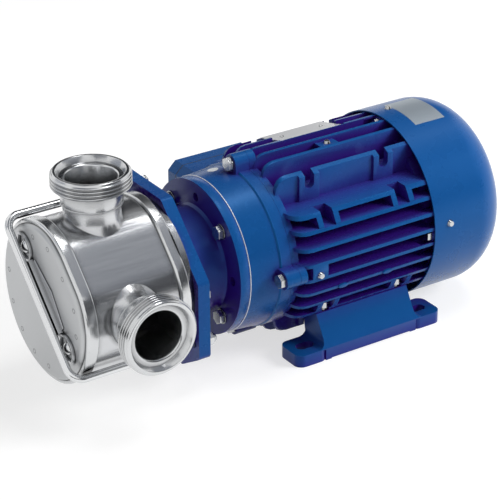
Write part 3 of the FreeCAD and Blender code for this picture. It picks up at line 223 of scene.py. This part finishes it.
shown = mix_shaders(node, link, fade.outputs[0], near, far)
whole = mix_shaders(node, link, seen_directly(node, link), card, shown)
link(whole.outputs[0], node("ShaderNodeOutputMaterial").inputs[0])
floor.data.materials.append(floor_paint)
print("floor fades to white between", FADE_FROM, "and", FADE_TO, "m from the pump")

# %% [markdown]
# Lamps
#
# A large soft box is the main light. It stands beyond the fan, on the viewer's side, and a
# weaker one hangs high up to draw the bright band along the top of the casing. Small lamps
# would give hard shadows and pin-sharp highlights. The main box is hidden from mirror rays, or
# it would show as a white square on the steel.

# %% Lamp helper
LAMP_SIZE = 0.9
LAMP_AIM = Vector((-0.08, 0, 0.1))


def soft_lamp(name, place, watts):
    """Square soft box that faces the pump."""
    lamp = bpy.data.objects.new(name, bpy.data.lights.new(name, "AREA"))
    lamp.data.shape, lamp.data.size, lamp.data.energy = "SQUARE", LAMP_SIZE, watts
    lamp.location = place
    lamp.rotation_mode = "QUATERNION"
    lamp.rotation_quaternion = (LAMP_AIM - lamp.location).to_track_quat("-Z", "Y")
    bpy.context.scene.collection.objects.link(lamp)
    return lamp


# %% Lamps
key = soft_lamp("key", (1.55, -1.25, 1.20), 42)
key.visible_glossy = False
soft_lamp("top", (0.62, 0.02, 1.85), 15)

# %% [markdown]
# Flags
#
# Polished steel only looks like steel when it mirrors something dark as well as the white
# studio. Photographers hang dark cards round it, which they call flags. Here they stand out of
# view and only mirror rays see them, so they take no light away. Dark stripes painted on the
# steel would be quicker, but a mirror image wanders as the view changes, and a stripe doesn't.

# %% Place of the head
JOINTS = {joint["name"]: joint for joint in frame["joints"]}
AXIS_Z = JOINTS["rotor_spin"]["pos_m"][2]
low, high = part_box("top_union")
HEAD = Vector(((low.x + high.x) / 2, 0, AXIS_Z))
print("middle of the ports", [round(v, 3) for v in HEAD])

# %% Flag helper
FLAG_TINT = (0.95, 1, 1.12)


def flag(name, towards, far, size, tone):
    """Dark card that faces the head from afar and is seen by mirror rays alone."""
    place = HEAD + Vector(towards) * far
    turn = (HEAD - place).to_track_quat("Z", "Y").to_matrix().to_4x4()
    bm = bmesh.new()
    bmesh.ops.create_grid(bm, x_segments=1, y_segments=1, size=0.5,
                          matrix=Matrix.Translation(place) @ turn @ Matrix.Diagonal(size + (1, 1)))
    card = new_object(name, bm)
    paint = bpy.data.materials.new(name)
    node, link = shader(paint)
    link(node("ShaderNodeEmission", Color=rgba(tone * share for share in FLAG_TINT)).outputs[0],
         node("ShaderNodeOutputMaterial").inputs[0])
    card.data.materials.append(paint)
    card.visible_camera = card.visible_diffuse = False
    card.visible_shadow = card.visible_transmission = False


# %% Flags
for name, towards, far, size, tone in (
        ("flag_front", (0.49, -0.76, 0.32), 1.4, (1.5, 0.75), 0.07),
        ("flag_slope", (0.49, -0.40, 0.78), 1.5, (1.5, 0.86), 0.29),
        ("flag_back", (0.49, 0.57, 0.70), 1.5, (1.6, 1.54), 0.04),
        ("flag_left", (-0.75, 0.60, 0.45), 1.5, (1.2, 0.80), 0.45),
        ("flag_roof", (-0.35, -0.10, 1.00), 1.9, (1.2, 1.60), 0.25),
        ("flag_near", (-0.30, -0.90, -0.05), 0.7, (0.9, 0.16), 0.05),
        ("flag_far", (0.30, 0.95, -0.05), 0.8, (0.9, 0.16), 0.05)):
    flag(name, towards, far, size, tone)

# %% [markdown]
# Finishes
#
# Every finish here is a Principled shader with noise that breaks up its colour, its gloss and
# its surface, at the scale that the real coat or grain has. A photograph could be wrapped on
# instead, but noise needs no picture and has no seam. It reads Object coordinates, so it stays
# on the piece in every view.

# %% Grain and colour helpers
# A Mix node has sockets for every kind of data. These are the numbers of its colour sockets.
COLOUR_A, COLOUR_B, COLOUR_OUT = 6, 7, 2


def grain_noise(node, link, grain):
    """Noise with so many waves per metre, as one number or as one for each axis."""
    stretch = node("ShaderNodeMapping")
    stretch.inputs["Scale"].default_value = grain if isinstance(grain, tuple) else (grain,) * 3
    link(node("ShaderNodeTexCoord").outputs["Object"], stretch.inputs["Vector"])
    noise = node("ShaderNodeTexNoise", Scale=1.0, Detail=4.0, Roughness=0.55)
    link(stretch.outputs[0], noise.inputs["Vector"])
    return noise.outputs[0]


def varied_colour(node, link, noise, colour, tone):
    """The colour, a little darker and lighter with the noise."""
    tint = node("ShaderNodeMix", data_type="RGBA")
    tint.inputs[COLOUR_A].default_value = rgba(c * (1 - tone) for c in colour)
    tint.inputs[COLOUR_B].default_value = rgba(min(1, c * (1 + tone)) for c in colour)
    link(noise, tint.inputs["Factor"])
    return tint.outputs[COLOUR_OUT]


# %% Hollows helper
FULL_SHADE_AT = 0.32


def painted_hollow_shade(node, link, shade, hollow_shade, reach):
    """Painted shade: the colour goes towards another where the shape closes in within reach."""
    corner = node("ShaderNodeAmbientOcclusion", Distance=reach * MM, samples=8)
    openness = node("ShaderNodeMapRange", **{"From Min": FULL_SHADE_AT, "From Max": 1.0})
    link(corner.outputs["AO"], openness.inputs["Value"])
    deep = node("ShaderNodeMix", data_type="RGBA")
    deep.inputs[COLOUR_A].default_value = rgba(hollow_shade)
    link(openness.outputs[0], deep.inputs["Factor"])
    link(shade, deep.inputs[COLOUR_B])
    return deep.outputs[COLOUR_OUT]


# %% Surface helpers
GROOVE_STRETCH, ACROSS_GROOVES = 0.75, 0.25
SMOOTHEST = 0.02


def varied_gloss(node, link, skin, noise, rough, gloss):
    """Let the noise move the roughness up and down."""
    spread = node("ShaderNodeMapRange",
                  **{"To Min": max(SMOOTHEST, rough - gloss), "To Max": min(1, rough + gloss)})
    link(noise, spread.inputs["Value"])
    link(spread.outputs[0], skin.inputs["Roughness"])


def lifted_surface(node, link, skin, noise, bump, depth):
    """Let the noise lift the surface by a depth in millimetres."""
    relief = node("ShaderNodeBump", Strength=bump, Distance=depth * MM)
    link(noise, relief.inputs["Height"])
    link(relief.outputs[0], skin.inputs["Normal"])


def fine_grooves(node, link, skin, axis):
    """Stretch the highlights as fine grooves do that run round an axis."""
    skin.inputs["Anisotropic"].default_value = GROOVE_STRETCH
    skin.inputs["Anisotropic Rotation"].default_value = ACROSS_GROOVES
    rings = node("ShaderNodeTangent", direction_type="RADIAL", axis=axis)
    link(rings.outputs[0], skin.inputs["Tangent"])


# %% Finish maker
def finish(name, colour, rough, metallic=0.0, grain=60, tone=0.06, gloss=0.05, bump=0.05,
           depth=0.05, level=0.5, glint=(1, 1, 1), hollow_shade=None, reach=60, turned=None):
    """A material whose colour, gloss and surface vary with one noise.

    Tone and gloss say how far the noise moves the colour and the roughness, and depth how high
    it lifts the surface. The hollow shade colour is painted as shade on places that are closed in
    within reach. Turned is the axis that fine grooves run round. Depth and reach are in
    millimetres.
    """
    made = bpy.data.materials.new(name)
    node, link = shader(made)
    skin = node("ShaderNodeBsdfPrincipled", Metallic=metallic,
                **{"Specular IOR Level": level, "Specular Tint": rgba(glint)})
    link(skin.outputs[0], node("ShaderNodeOutputMaterial").inputs[0])
    noise = grain_noise(node, link, grain)
    shade = varied_colour(node, link, noise, colour, tone)
    # Painted shade in the hollows, where a shade colour is given.
    if hollow_shade:
        shade = painted_hollow_shade(node, link, shade, hollow_shade, reach)
    link(shade, skin.inputs["Base Color"])
    varied_gloss(node, link, skin, noise, rough, gloss)
    if bump:
        lifted_surface(node, link, skin, noise, bump, depth)
    if turned:
        fine_grooves(node, link, skin, turned)
    return made


# %% [markdown]
# Blue paint
#
# The castings and the cowl wear one blue enamel. Its gloss is tinted, because a white gloss
# would grey so deep a blue. The castings' paint has painted shade, violet in the valleys between
# the fins. How far it looks round for a wall is its reach, which suits the size of each casting's
# hollows. The sheet cowl is smoother, has no such valleys and gets no painted shade.

# %% Paint
# The violet below is painted shade for the hollows of the castings.
BLUE, SHADE_VIOLET, GLINT = (0.006, 0.070, 0.245), (0.034, 0.007, 0.19), (0.10, 0.42, 0.95)
CASTING = {"grain": 90, "tone": 0.05, "gloss": 0.06, "bump": 0.12, "depth": 0.2, "level": 0.45,
           "glint": GLINT, "hollow_shade": SHADE_VIOLET}
blue_paint = finish("blue_paint", BLUE, 0.27, **CASTING)
foot_paint = finish("foot_paint", BLUE, 0.30, reach=25, **CASTING)
sheet_paint = finish("sheet_paint", BLUE, 0.28, grain=40, tone=0.03, gloss=0.04, depth=0.2,
                     glint=GLINT)
neck_paint = finish("neck_paint", BLUE, 0.24, reach=130, **CASTING)
print("paint:", [m.name for m in bpy.data.materials if "paint" in m.name])

# %% [markdown]
# Stainless steel
#
# The same steel looks different by how it was worked. The casing is rolled and buffed, with
# faint streaks along its length, and its rings are turned smooth. The unions were turned too,
# and their fine grooves run round and stretch each highlight across them. The cover is satin,
# and the bail is polished rod. Narrow hollows get a little dirt and painted shade, which draw a
# dark line round each boss.

# %% Rolled and turned steel
# The near-black below is dirt and painted shade for the narrow hollows of the steel.
DIRT_AND_SHADE = (0.03, 0.03, 0.032)
rolled_steel = finish("rolled_steel", (0.62, 0.63, 0.645), 0.25, 1.0, grain=(14, 260, 260),
                      tone=0.08, bump=0, hollow_shade=DIRT_AND_SHADE, reach=6)
ring_steel = finish("ring_steel", (0.66, 0.67, 0.68), 0.24, 1.0, grain=(1800, 12, 12),
                    tone=0.04, gloss=0.03, bump=0.02, hollow_shade=DIRT_AND_SHADE, reach=6)
TURNED = {"colour": (0.64, 0.65, 0.66), "rough": 0.20, "metallic": 1.0, "gloss": 0.04,
          "bump": 0.04, "hollow_shade": DIRT_AND_SHADE, "reach": 22}
turned_steel = finish("turned_steel", grain=(15, 15, 2500), turned="Z", **TURNED)
side_turned = finish("side_turned_steel", grain=(15, 2500, 15), turned="Y", **TURNED)
print("worked:", rolled_steel.name, ring_steel.name, turned_steel.name, side_turned.name)

# %% Satin steel
cover_satin = finish("cover_satin", (0.52, 0.53, 0.54), 0.42, 1.0, grain=(300, 40, 300),
                     tone=0.04, hollow_shade=DIRT_AND_SHADE, reach=3)
# The dark grey below is painted shade for the grooves round the cover marks.
mark_groove = finish("mark_groove", (0.17, 0.17, 0.18), 0.5, 1.0, grain=300)
SATIN = {"rough": 0.30, "metallic": 1.0, "grain": 300, "tone": 0.05, "gloss": 0.06, "bump": 0.06}
satin_steel = finish("satin_steel", (0.56, 0.57, 0.585), hollow_shade=DIRT_AND_SHADE, reach=5, **SATIN)
# The rail's hollows darken to grey, as painted shade.
rail_steel = finish("rail_steel", (0.60, 0.61, 0.625), hollow_shade=(0.13, 0.13, 0.14), reach=3, **SATIN)
print("satin:", cover_satin.name, mark_groove.name, satin_steel.name, rail_steel.name)

# %% Polished steel
POLISHED = {"metallic": 1.0, "grain": (60, 400, 400), "gloss": 0.04, "bump": 0.03, "hollow_shade": DIRT_AND_SHADE}
bright_rod = finish("bright_rod", (0.64, 0.65, 0.66), 0.15, tone=0.08, reach=3, **POLISHED)
bail_rod = finish("bail_rod", (0.72, 0.73, 0.74), 0.13, reach=6, **POLISHED)
print("polished:", bright_rod.name, bail_rod.name)

# %% [markdown]
# Screws and plates
#
# The screws are zinc plated, which is bright but cloudy, so both their tone and their gloss
# vary. The nameplate is bare aluminium with a fine drawn grain. The label is foil, and the
# round sticker is paper, which is no metal at all.

# %% Screws and plates
zinc_plate = finish("zinc_plate", (0.55, 0.56, 0.57), 0.22, 1.0, grain=500, tone=0.12,
                    gloss=0.08, hollow_shade=DIRT_AND_SHADE, reach=4)
bare_plate = finish("bare_plate", (0.60, 0.61, 0.63), 0.34, 0.75, grain=(40, 1200, 1200),
                    gloss=0.06)
bare_edge = finish("bare_edge", (0.70, 0.72, 0.75), 0.38, 0.4, grain=(900, 60, 60), tone=0.05)
foil = finish("silver_foil", (0.33, 0.38, 0.43), 0.36, 0.5, grain=700, tone=0.08)
white_paper = finish("white_sticker", (0.72, 0.74, 0.76), 0.40, grain=900, tone=0.03, bump=0.08)
print("plates:", bare_plate.name, foil.name, white_paper.name)

# %% [markdown]
# Inside finishes
#
# Most of these show only when the pump is opened, as it is in a service drawing. The core is a
# stack of thin sheets, so its noise is squeezed along the shaft into leaves. The windings are
# copper wire, so theirs is squeezed across it.

# %% Inside finishes
ground_steel = finish("ground_steel", (0.45, 0.45, 0.46), 0.25, 1.0, grain=(1200, 60, 60),
                      tone=0.10, gloss=0.06, bump=0.06)
spring_steel = finish("spring_steel", (0.30, 0.29, 0.28), 0.38, 1.0, grain=400, tone=0.15,
                      gloss=0.08, bump=0.06)
dark_core = finish("laminated_core", (0.10, 0.10, 0.11), 0.55, 0.6, grain=(2000, 30, 30),
                   tone=0.25, gloss=0.10, bump=0.2)
copper = finish("varnished_copper", (0.45, 0.16, 0.06), 0.35, 0.8, grain=(90, 700, 700),
                tone=0.30, gloss=0.10, bump=0.4, depth=0.4)
black_rubber = finish("moulded_rubber", (0.018, 0.018, 0.018), 0.62, grain=250, tone=0.20,
                      gloss=0.10, bump=0.25, depth=0.2)
black_plastic = finish("black_plastic", (0.02, 0.02, 0.022), 0.45, grain=500, tone=0.20,
                       gloss=0.08, bump=0.25, depth=0.1)
seal_face = finish("lapped_carbon", (0.05, 0.05, 0.055), 0.2, grain=300, tone=0.1)
print(len(bpy.data.materials), "materials in all")

# %% [markdown]
# Dressing a CAD piece
#
# The imported meshes are loose triangles with razor edges. Each could be drawn again by hand, but
# its shape is right already. So a copy is merged, its flat faces are joined, and a narrow bevel
# rounds the edges, because real castings and turned parts catch a line of light there. The copy
# then stands for the CAD piece, which is hidden, and rides on the same body.

# %% Bodies
BODY_OF = {name: body for body, names in frame["record"]["behaviour"]["bodies"].items()
           for name in names}
for body in frame["bodies"]:
    print(body, "carries", sum(1 for carrier in BODY_OF.values() if carrier == body), "nodes")


# %% Placing helper
def place_piece(name, bm, paint, body="pump", smooth=35):
    """Turn a bmesh into a finished piece that rides on a body."""
    piece = new_object(name, bm)
    piece.data.materials.append(paint)
    piece.data.shade_smooth()
    piece.data.set_sharp_from_angle(angle=math.radians(smooth))
    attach(piece, body)
    return piece


# %% Edge helper
def round_edges(piece, width, segments, smooth):
    """Bevel each edge that is sharper than an angle, by a width in millimetres."""
    rounding = piece.modifiers.new("rounding", "BEVEL")
    rounding.width, rounding.segments = width * MM, segments
    rounding.limit_method, rounding.angle_limit = "ANGLE", math.radians(smooth)
    rounding.harden_normals = True


# %% Dressing helper
MERGE_WITHIN = 0.002 * MM
FLAT_WITHIN = math.radians(0.6)


def dress(node_name, paint, width=0.4, segments=2, smooth=35, zones=(), zone_paint=None):
    """Merged copy of a CAD node, its edges rounded by a width in mm.

    Its zones, which run from one x to another in mm, wear the second paint.
    """
    bm = bmesh.new()
    bm.from_mesh(frame["nodes"][node_name].data)
    bmesh.ops.remove_doubles(bm, verts=bm.verts, dist=MERGE_WITHIN)
    bmesh.ops.dissolve_limit(bm, angle_limit=FLAT_WITHIN, verts=bm.verts, edges=bm.edges)
    for face in bm.faces:
        at = face.calc_center_median().x / MM
        face.material_index = int(any(start < at < stop for start, stop in zones))
    piece = place_piece(node_name + "_shell", bm, paint, BODY_OF[node_name],
                        smooth)
    if zone_paint:
        piece.data.materials.append(zone_paint)
    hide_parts(node_name)
    if width:
        round_edges(piece, width, segments, smooth)
    print(piece.name, len(piece.data.polygons), "faces")
    return piece


# %% [markdown]
# Turned pieces
#
# Unions, beads and rims are turned on a lathe. A chain of points is the cutter's path, and
# spinning it once round makes the piece. A cylinder with loops cut in would do as well, but a
# path is closer to the drawing that a turner reads.


# %% Lathe helper
def lathe(path, steps=96):
    """Spin a path of (distance along the axis, radius) in millimetres about X.

    The path is closed, unless it starts and ends on the axis, where it makes a solid disc.
    """
    bm = bmesh.new()
    points = [bm.verts.new((x * MM, 0, r * MM)) for x, r in path]
    pairs = list(zip(points, points[1:]))
    if path[0][1] or path[-1][1]:
        pairs.append((points[-1], points[0]))
    edges = [bm.edges.new(pair) for pair in pairs]
    bmesh.ops.spin(bm, geom=points + edges, cent=(0, 0, 0), axis=(1, 0, 0),
                   angle=math.tau, steps=steps, use_merge=True)
    bmesh.ops.remove_doubles(bm, verts=bm.verts, dist=MERGE_WITHIN)
    bmesh.ops.recalc_face_normals(bm, faces=bm.faces)
    return bm


# %% [markdown]
# Threaded unions
#
# A dairy union has a round thread, which is easy to clean: its ridges are soft waves, not sharp
# V grooves. The wave is drawn as points on a sine and spun, and the rim has a coned recess for
# the liner of the hose. The thread of a real union climbs, but by so little in each turn that
# plain rings look the same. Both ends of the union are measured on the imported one.


# %% Union thread
def span(name, axis):
    """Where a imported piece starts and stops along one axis, in millimetres."""
    return [round(corner["xyz".index(axis)] / MM, 1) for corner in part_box(name)]


SHAFT_HEIGHT = AXIS_Z / MM
root, tip = [round(height - SHAFT_HEIGHT, 1) for height in span("top_union", "z")]
RIDGES, RIDGE_RADIUS, RIDGE_WAVE = 4, 38.1, 0.85
THREAD_START, THREAD_LENGTH, THREAD_STEPS = tip - 16.1, 14.4, 48
thread = []
for step in range(THREAD_STEPS + 1):
    share = step / THREAD_STEPS
    thread.append((THREAD_START + THREAD_LENGTH * share,
                   RIDGE_RADIUS - RIDGE_WAVE * math.cos(RIDGES * share * math.tau)))
print("union from", root, "to", tip, "mm off the shaft,", len(thread), "points on its thread")

# %% Union path
BORE, NECK = 25, 30
neck = [(root, BORE), (root, NECK), (root + 0.4, NECK + 0.15), (root + 6, NECK),
        (tip - 18.1, NECK), (tip - 17.3, NECK + 0.8), (tip - 17, NECK + 2), (tip - 17, 35.6),
        (tip - 16.7, 36.6)]
rim = [(tip - 0.7, 36.9), (tip - 0.1, 36.2), (tip, 35.4), (tip, 33.9), (tip - 0.3, 33.4)]
recess = [(tip - 5.4, 31.1), (tip - 6, 30.6), (tip - 6, 27.2), (tip - 6.2, 26.4),
          (tip - 6.9, 25.4), (tip - 7.7, BORE)]
union_path = neck + thread + rim + recess
weld_path = [(root + along, NECK + out) for along, out in (
    (-0.9, -0.4), (-0.9, 0.05), (-0.5, 0.35), (0, 0.45), (0.5, 0.35), (0.9, 0.1), (0.9, -0.4))]
print(len(union_path), "points on the union,", len(weld_path), "on its weld")

# %% Unions and their welds
for name, axis, paint in (("top_union", "Y", turned_steel), ("side_union", "Z", side_turned)):
    place = Matrix.Translation(HEAD) @ Matrix.Rotation(math.radians(-90), 4, axis)
    union = lathe(union_path)
    bmesh.ops.transform(union, matrix=place, verts=union.verts)
    piece = place_piece(name + "_turned", union, paint, "pump", 40)
    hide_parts(name)
    bead = lathe(weld_path)
    bmesh.ops.transform(bead, matrix=place, verts=bead.verts)
    place_piece(name + "_weld", bead, satin_steel, "pump", 60)
    print(name, len(piece.data.polygons), "faces")

# %% [markdown]
# Pump casing, cover and bail
#
# The casing is rolled sheet between two turned rings. One copy wears both finishes, told apart
# by where a face lies along the shaft, because cutting it in two would leave a seam. The cover
# is satin, and its welded rib, its studs and the bail that holds it shut are polished. Small
# stacks of disc springs pull the bail back.

# %% Casing and cover
CASING_FRONT = span("pump_casing", "x")[0]
PLATE_FRONT, FACE = span("lantern", "x")
FRONT_RING = (CASING_FRONT - 1, CASING_FRONT + 13)
REAR_RING = (PLATE_FRONT - 17.6, PLATE_FRONT - 5)
dress("pump_casing", rolled_steel, 0.4, 3, 32, (FRONT_RING, REAR_RING), ring_steel)
dress("front_cover", cover_satin, 0.2, smooth=40)
dress("cover_gasket", black_rubber, 0)
dress("cover_rail", rail_steel, 0.6, 3)
dress("rail_studs", bright_rod, 0.3, smooth=50)

# %% Bail
dress("bail", bail_rod, 0)
dress("bail_nuts", bright_rod, smooth=40)
dress("bail_washers", zinc_plate, 0.15)
springs = dress("bail_springs", spring_steel, 0)
low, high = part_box("bail_springs")
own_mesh(springs)
print("springs", round((high.x - low.x) / MM, 2), "mm long at rest, on", BODY_OF["bail_springs"])

# %% [markdown]
# Cover marks
#
# The cover carries a ring of small round marks, each a shallow disc with a fine groove round
# it. They could be painted on with a texture, but then their edges would catch no light. Each is
# turned on the lathe and moved to its place round the cover's edge. The groove is a thin dark
# ring, and its dark colour is painted shade.

# %% Places of the marks
COVER_FACE = span("front_cover", "x")[0]
MARK_RING, MARK_ANGLES = 66, (35, 60, 90, 118, 141, -141, -116, -92, -67, -38)
DRAWN_IN = {90: 4}
SLANT = math.sqrt(0.5)


def mark_place(angle):
    """Where a mark lies on the cover, which is turned by 45 degrees about the shaft."""
    out, turn = MARK_RING - DRAWN_IN.get(angle, 0), math.radians(angle)
    across, up = out * math.cos(turn), out * math.sin(turn)
    return Vector((COVER_FACE, (across - up) * SLANT, SHAFT_HEIGHT + (across + up) * SLANT)) * MM


# %% Marks helper
def add_to(whole, part):
    """Move one bmesh into another, so that copies become a single piece."""
    carrier = bpy.data.meshes.new("carrier")
    part.to_mesh(carrier)
    part.free()
    whole.from_mesh(carrier)
    bpy.data.meshes.remove(carrier)


def on_each_mark(path):
    """The same turned shape at each mark of the cover."""
    bm = bmesh.new()
    for angle in MARK_ANGLES:
        mark = lathe(path, steps=20)
        bmesh.ops.translate(mark, verts=mark.verts, vec=mark_place(angle))
        add_to(bm, mark)
    return bm


# %% Cover marks
SUNK, EDGE, GROOVE_EDGE = 0.10, 1.9, 2.5
disc = [(-0.16, 0), (-0.14, 1.4), (-0.03, EDGE), (SUNK, EDGE), (SUNK, 0)]
groove = [(SUNK, EDGE), (-0.05, EDGE), (-0.05, GROOVE_EDGE), (SUNK, GROOVE_EDGE)]
marks = place_piece("cover_marks", on_each_mark(disc), cover_satin, "pump", 40)
# The grooves wear the dark grey of painted shade.
place_piece("cover_groove_shade", on_each_mark(groove), mark_groove, "pump", 40)
print(len(MARK_ANGLES), "marks,", len(marks.data.polygons), "faces")

# %% [markdown]
# Castings of the drive
#
# The lantern, the shields, the finned frame and the feet are die castings. Their edges are
# rounder than a machined part's, so their bevels are wider. The cowl is pressed sheet with a
# thin edge. The lantern's neck lies in deep shade between its two plates, so its paint has the
# painted shade with the longest reach.

# %% Castings
NECK_ZONE = (PLATE_FRONT + 13.1, FACE - 0.5)
dress("lantern", blue_paint, 1.0, 3, zones=(NECK_ZONE,), zone_paint=neck_paint)
for name, paint, width, segments in (
        ("drive_end_shield", blue_paint, 0.6, 2), ("stator_frame", blue_paint, 0.5, 2),
        ("rear_end_shield", blue_paint, 0.5, 2), ("foot_left", foot_paint, 1.2, 3),
        ("foot_right", foot_paint, 1.2, 3), ("terminal_box", blue_paint, 0.8, 2),
        ("box_lid", blue_paint, 1.2, 3)):
    dress(name, paint, width, segments)
dress("fan_cowl", sheet_paint, 0.3, smooth=40)

# %% [markdown]
# Machined bands
#
# The flange and the shield are turned where they meet. Long thin facets would show as streaks
# on so smooth a surface, so fine bands are spun over them. Where the two castings meet, the
# paint has worn to a bright line, and the step behind the drum has a rounded edge.


# %% Band helper
def turned_band(name, path, paint):
    """A ring about the shaft, fine enough to mirror smoothly.

    Its distances are counted from the face where the two castings meet.
    """
    band = lathe(path, steps=160)
    bmesh.ops.translate(band, verts=band.verts, vec=(FACE * MM, 0, AXIS_Z))
    return place_piece(name, band, paint, "pump", 40)


# %% Machined bands
turned_band("shield_band", [(0, 79.2), (0, 80.1), (0.6, 80.16), (30.8, 82.62), (31.6, 82.7),
                            (31.6, 81.0)], blue_paint)
turned_band("flange_band", [(-11, 78.5), (-11.6, 79.5), (-11.2, 79.9), (-10.5, 80.06),
                            (-1.2, 80.06), (-1, 79.9), (-1, 78.5)], blue_paint)
turned_band("machined_lip", [(-1, 79.4), (-1, 80.25), (-0.8, 80.5), (-0.2, 80.5), (0, 80.25),
                             (0, 79.4)], bare_edge)
turned_band("rim_bead", [(31.5, 82.0), (31.5, 82.75), (31.8, 83.0), (32.9, 84.08),
                         (33.3, 84.16), (33.8, 84.0), (33.8, 82.0)], sheet_paint)

# %% [markdown]
# Pusher pads
#
# Two long pads on the edge of a fin are where pins push the casting out of its die. Each starts
# as a circle that is stretched, extruded and bevelled, and stands on the fin's edge.


# %% Pad helper
def long_pad(radius, stretch, height, rounding):
    """Long flat button with a rounded rim, at the origin. Its sizes are in millimetres."""
    pad = bmesh.new()
    bmesh.ops.create_circle(pad, cap_ends=True, segments=32, radius=radius * MM)
    bmesh.ops.scale(pad, vec=(stretch, 1, 1), verts=pad.verts)
    lifted = bmesh.ops.extrude_face_region(pad, geom=list(pad.faces))["geom"]
    top = [item for item in lifted if isinstance(item, bmesh.types.BMVert)]
    bmesh.ops.translate(pad, vec=(0, 0, height * MM), verts=top)
    rim = [edge for edge in pad.edges if all(vert in top for vert in edge.verts)]
    bmesh.ops.bevel(pad, geom=rim, offset=rounding * MM, segments=3, affect="EDGES",
                    profile=0.5, material=-1)
    return pad


# %% Pusher pads
PAD_X, PAD_Y, PAD_Z = (-33.8, 20.7), -92.9, 76.3
PAD_TILT = Matrix.Rotation(math.radians(104), 3, "X")
both_pads = bmesh.new()
for x in PAD_X:
    pad = long_pad(radius=2.3, stretch=2.6, height=2.0, rounding=0.5)
    bmesh.ops.rotate(pad, verts=pad.verts, cent=(0, 0, 0), matrix=PAD_TILT)
    bmesh.ops.translate(pad, verts=pad.verts, vec=Vector((x, PAD_Y, PAD_Z)) * MM)
    bmesh.ops.recalc_face_normals(pad, faces=pad.faces)
    add_to(both_pads, pad)
pads = place_piece("pusher_pads", both_pads, sheet_paint)
print("pads", [round(v / MM, 1) for v in pads.dimensions], "mm")

# %% [markdown]
# Screws and small parts
#
# Screw heads are small in the picture, but their worn corners sparkle, so they get bevels too.
# Those on the heavy bolts are wide enough to see, and the rest are as narrow as a worn edge.

# %% Screws
HEAVY = ("casing_bolts", "lantern_bolts", "shield_bolts", "rear_shield_bolts", "foot_bolts",
         "foot_nuts")
LIGHT = ("lantern_washers", "cowl_screws", "lid_screws", "frame_screws", "nameplate_rivets",
         "box_screws")
for names, width in ((HEAVY, 0.5), (LIGHT, 0.2)):
    for name in names:
        dress(name, zinc_plate, width, smooth=40)

# %% Plate, fan and gland
dress("nameplate", bare_plate, 0.15, 1, 40)
dress("fan", black_plastic, 0.3)
dress("cable_gland", black_plastic, smooth=40)

# %% [markdown]
# Foil label
#
# The label follows the curved cowl, so a straight line is spun through part of a turn. The
# strip then gets the thickness of foil. A flat piece bent by a modifier would do as well, but a
# spin about the shaft keeps the label on the cowl at any radius.

# %% Label place
COWL_RADIUS = span("fan_cowl", "z")[1] - SHAFT_HEIGHT
LABEL_X, LABEL_FROM, LABEL_TO = (100, 112, 125, 137), 71.5, 104
FOIL_THICK, FOIL_SUNK = 0.2, 0.1


def axis_point(x, radius, angle):
    """Point on a cylinder about the shaft, in millimetres. The angle starts at the side port."""
    turn = math.radians(angle)
    return Vector((x, -radius * math.cos(turn), SHAFT_HEIGHT + radius * math.sin(turn))) * MM


# %% Foil label
bm = bmesh.new()
line = [bm.verts.new(axis_point(x, COWL_RADIUS - FOIL_SUNK, LABEL_FROM)) for x in LABEL_X]
edges = [bm.edges.new(pair) for pair in zip(line, line[1:])]
bmesh.ops.spin(bm, geom=line + edges, cent=(0, 0, AXIS_Z), axis=(1, 0, 0),
               angle=math.radians(LABEL_FROM - LABEL_TO), steps=24)
bmesh.ops.recalc_face_normals(bm, faces=bm.faces)
bmesh.ops.solidify(bm, geom=bm.faces, thickness=-FOIL_THICK * MM)
bmesh.ops.recalc_face_normals(bm, faces=bm.faces)
label = place_piece("cowl_label", bm, foil, "pump", 40)
print("label", [round(v / MM, 1) for v in label.dimensions], "mm")

# %% [markdown]
# Round sticker
#
# A small white sticker sits on top of the drum. It is a thin disc, tilted as the drum slopes.

# %% Round sticker
STICKER_X, STICKER_OUT, STICKER_ANGLE, DRUM_SLOPE = -114, 81.75, 102, 4.7
STICKER_RADIUS, STICKER_THICK, STICKER_EDGE = 5.6, 0.4, 0.1
bm = bmesh.new()
bmesh.ops.create_cone(bm, cap_ends=True, segments=48, radius1=STICKER_RADIUS * MM,
                      radius2=(STICKER_RADIUS - STICKER_EDGE) * MM, depth=STICKER_THICK * MM)
tilt = (Matrix.Rotation(math.radians(90 - STICKER_ANGLE), 3, "X")
        @ Matrix.Rotation(math.radians(-DRUM_SLOPE), 3, "Y"))
bmesh.ops.rotate(bm, verts=bm.verts, cent=(0, 0, 0), matrix=tilt)
bmesh.ops.translate(bm, verts=bm.verts, vec=axis_point(STICKER_X, STICKER_OUT, STICKER_ANGLE))
sticker = place_piece("round_sticker", bm, white_paper, "pump", 40)
print("sticker", [round(v / MM, 1) for v in sticker.dimensions], "mm")

# %% [markdown]
# Pieces inside
#
# The shaft, bearings, rotor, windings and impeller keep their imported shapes, which are right as
# they are. They only need their own finishes. Any piece without a line here is ground steel.

# %% Pieces inside
INSIDE = {
    "impeller_vanes": black_rubber, "box_gasket": black_rubber, "seal_seat": seal_face,
    "seal_ring": seal_face, "stator_core": dark_core, "rotor_core": dark_core,
    "windings": copper, "terminal_block": black_plastic, "impeller_hub": satin_steel,
    "seal_spring": spring_steel, "bearing_spring": spring_steel, "fan_clip": spring_steel,
    "front_bearing_balls": bright_rod, "rear_bearing_balls": bright_rod,
    "impeller_screw": bright_rod, "impeller_washer": bright_rod, "coupling_screws": zinc_plate}
for name, cad_piece in frame["nodes"].items():
    cad_piece.data.materials.clear()
    cad_piece.data.materials.append(INSIDE.get(name, ground_steel))
print(len(INSIDE), "pieces inside have their own finish")
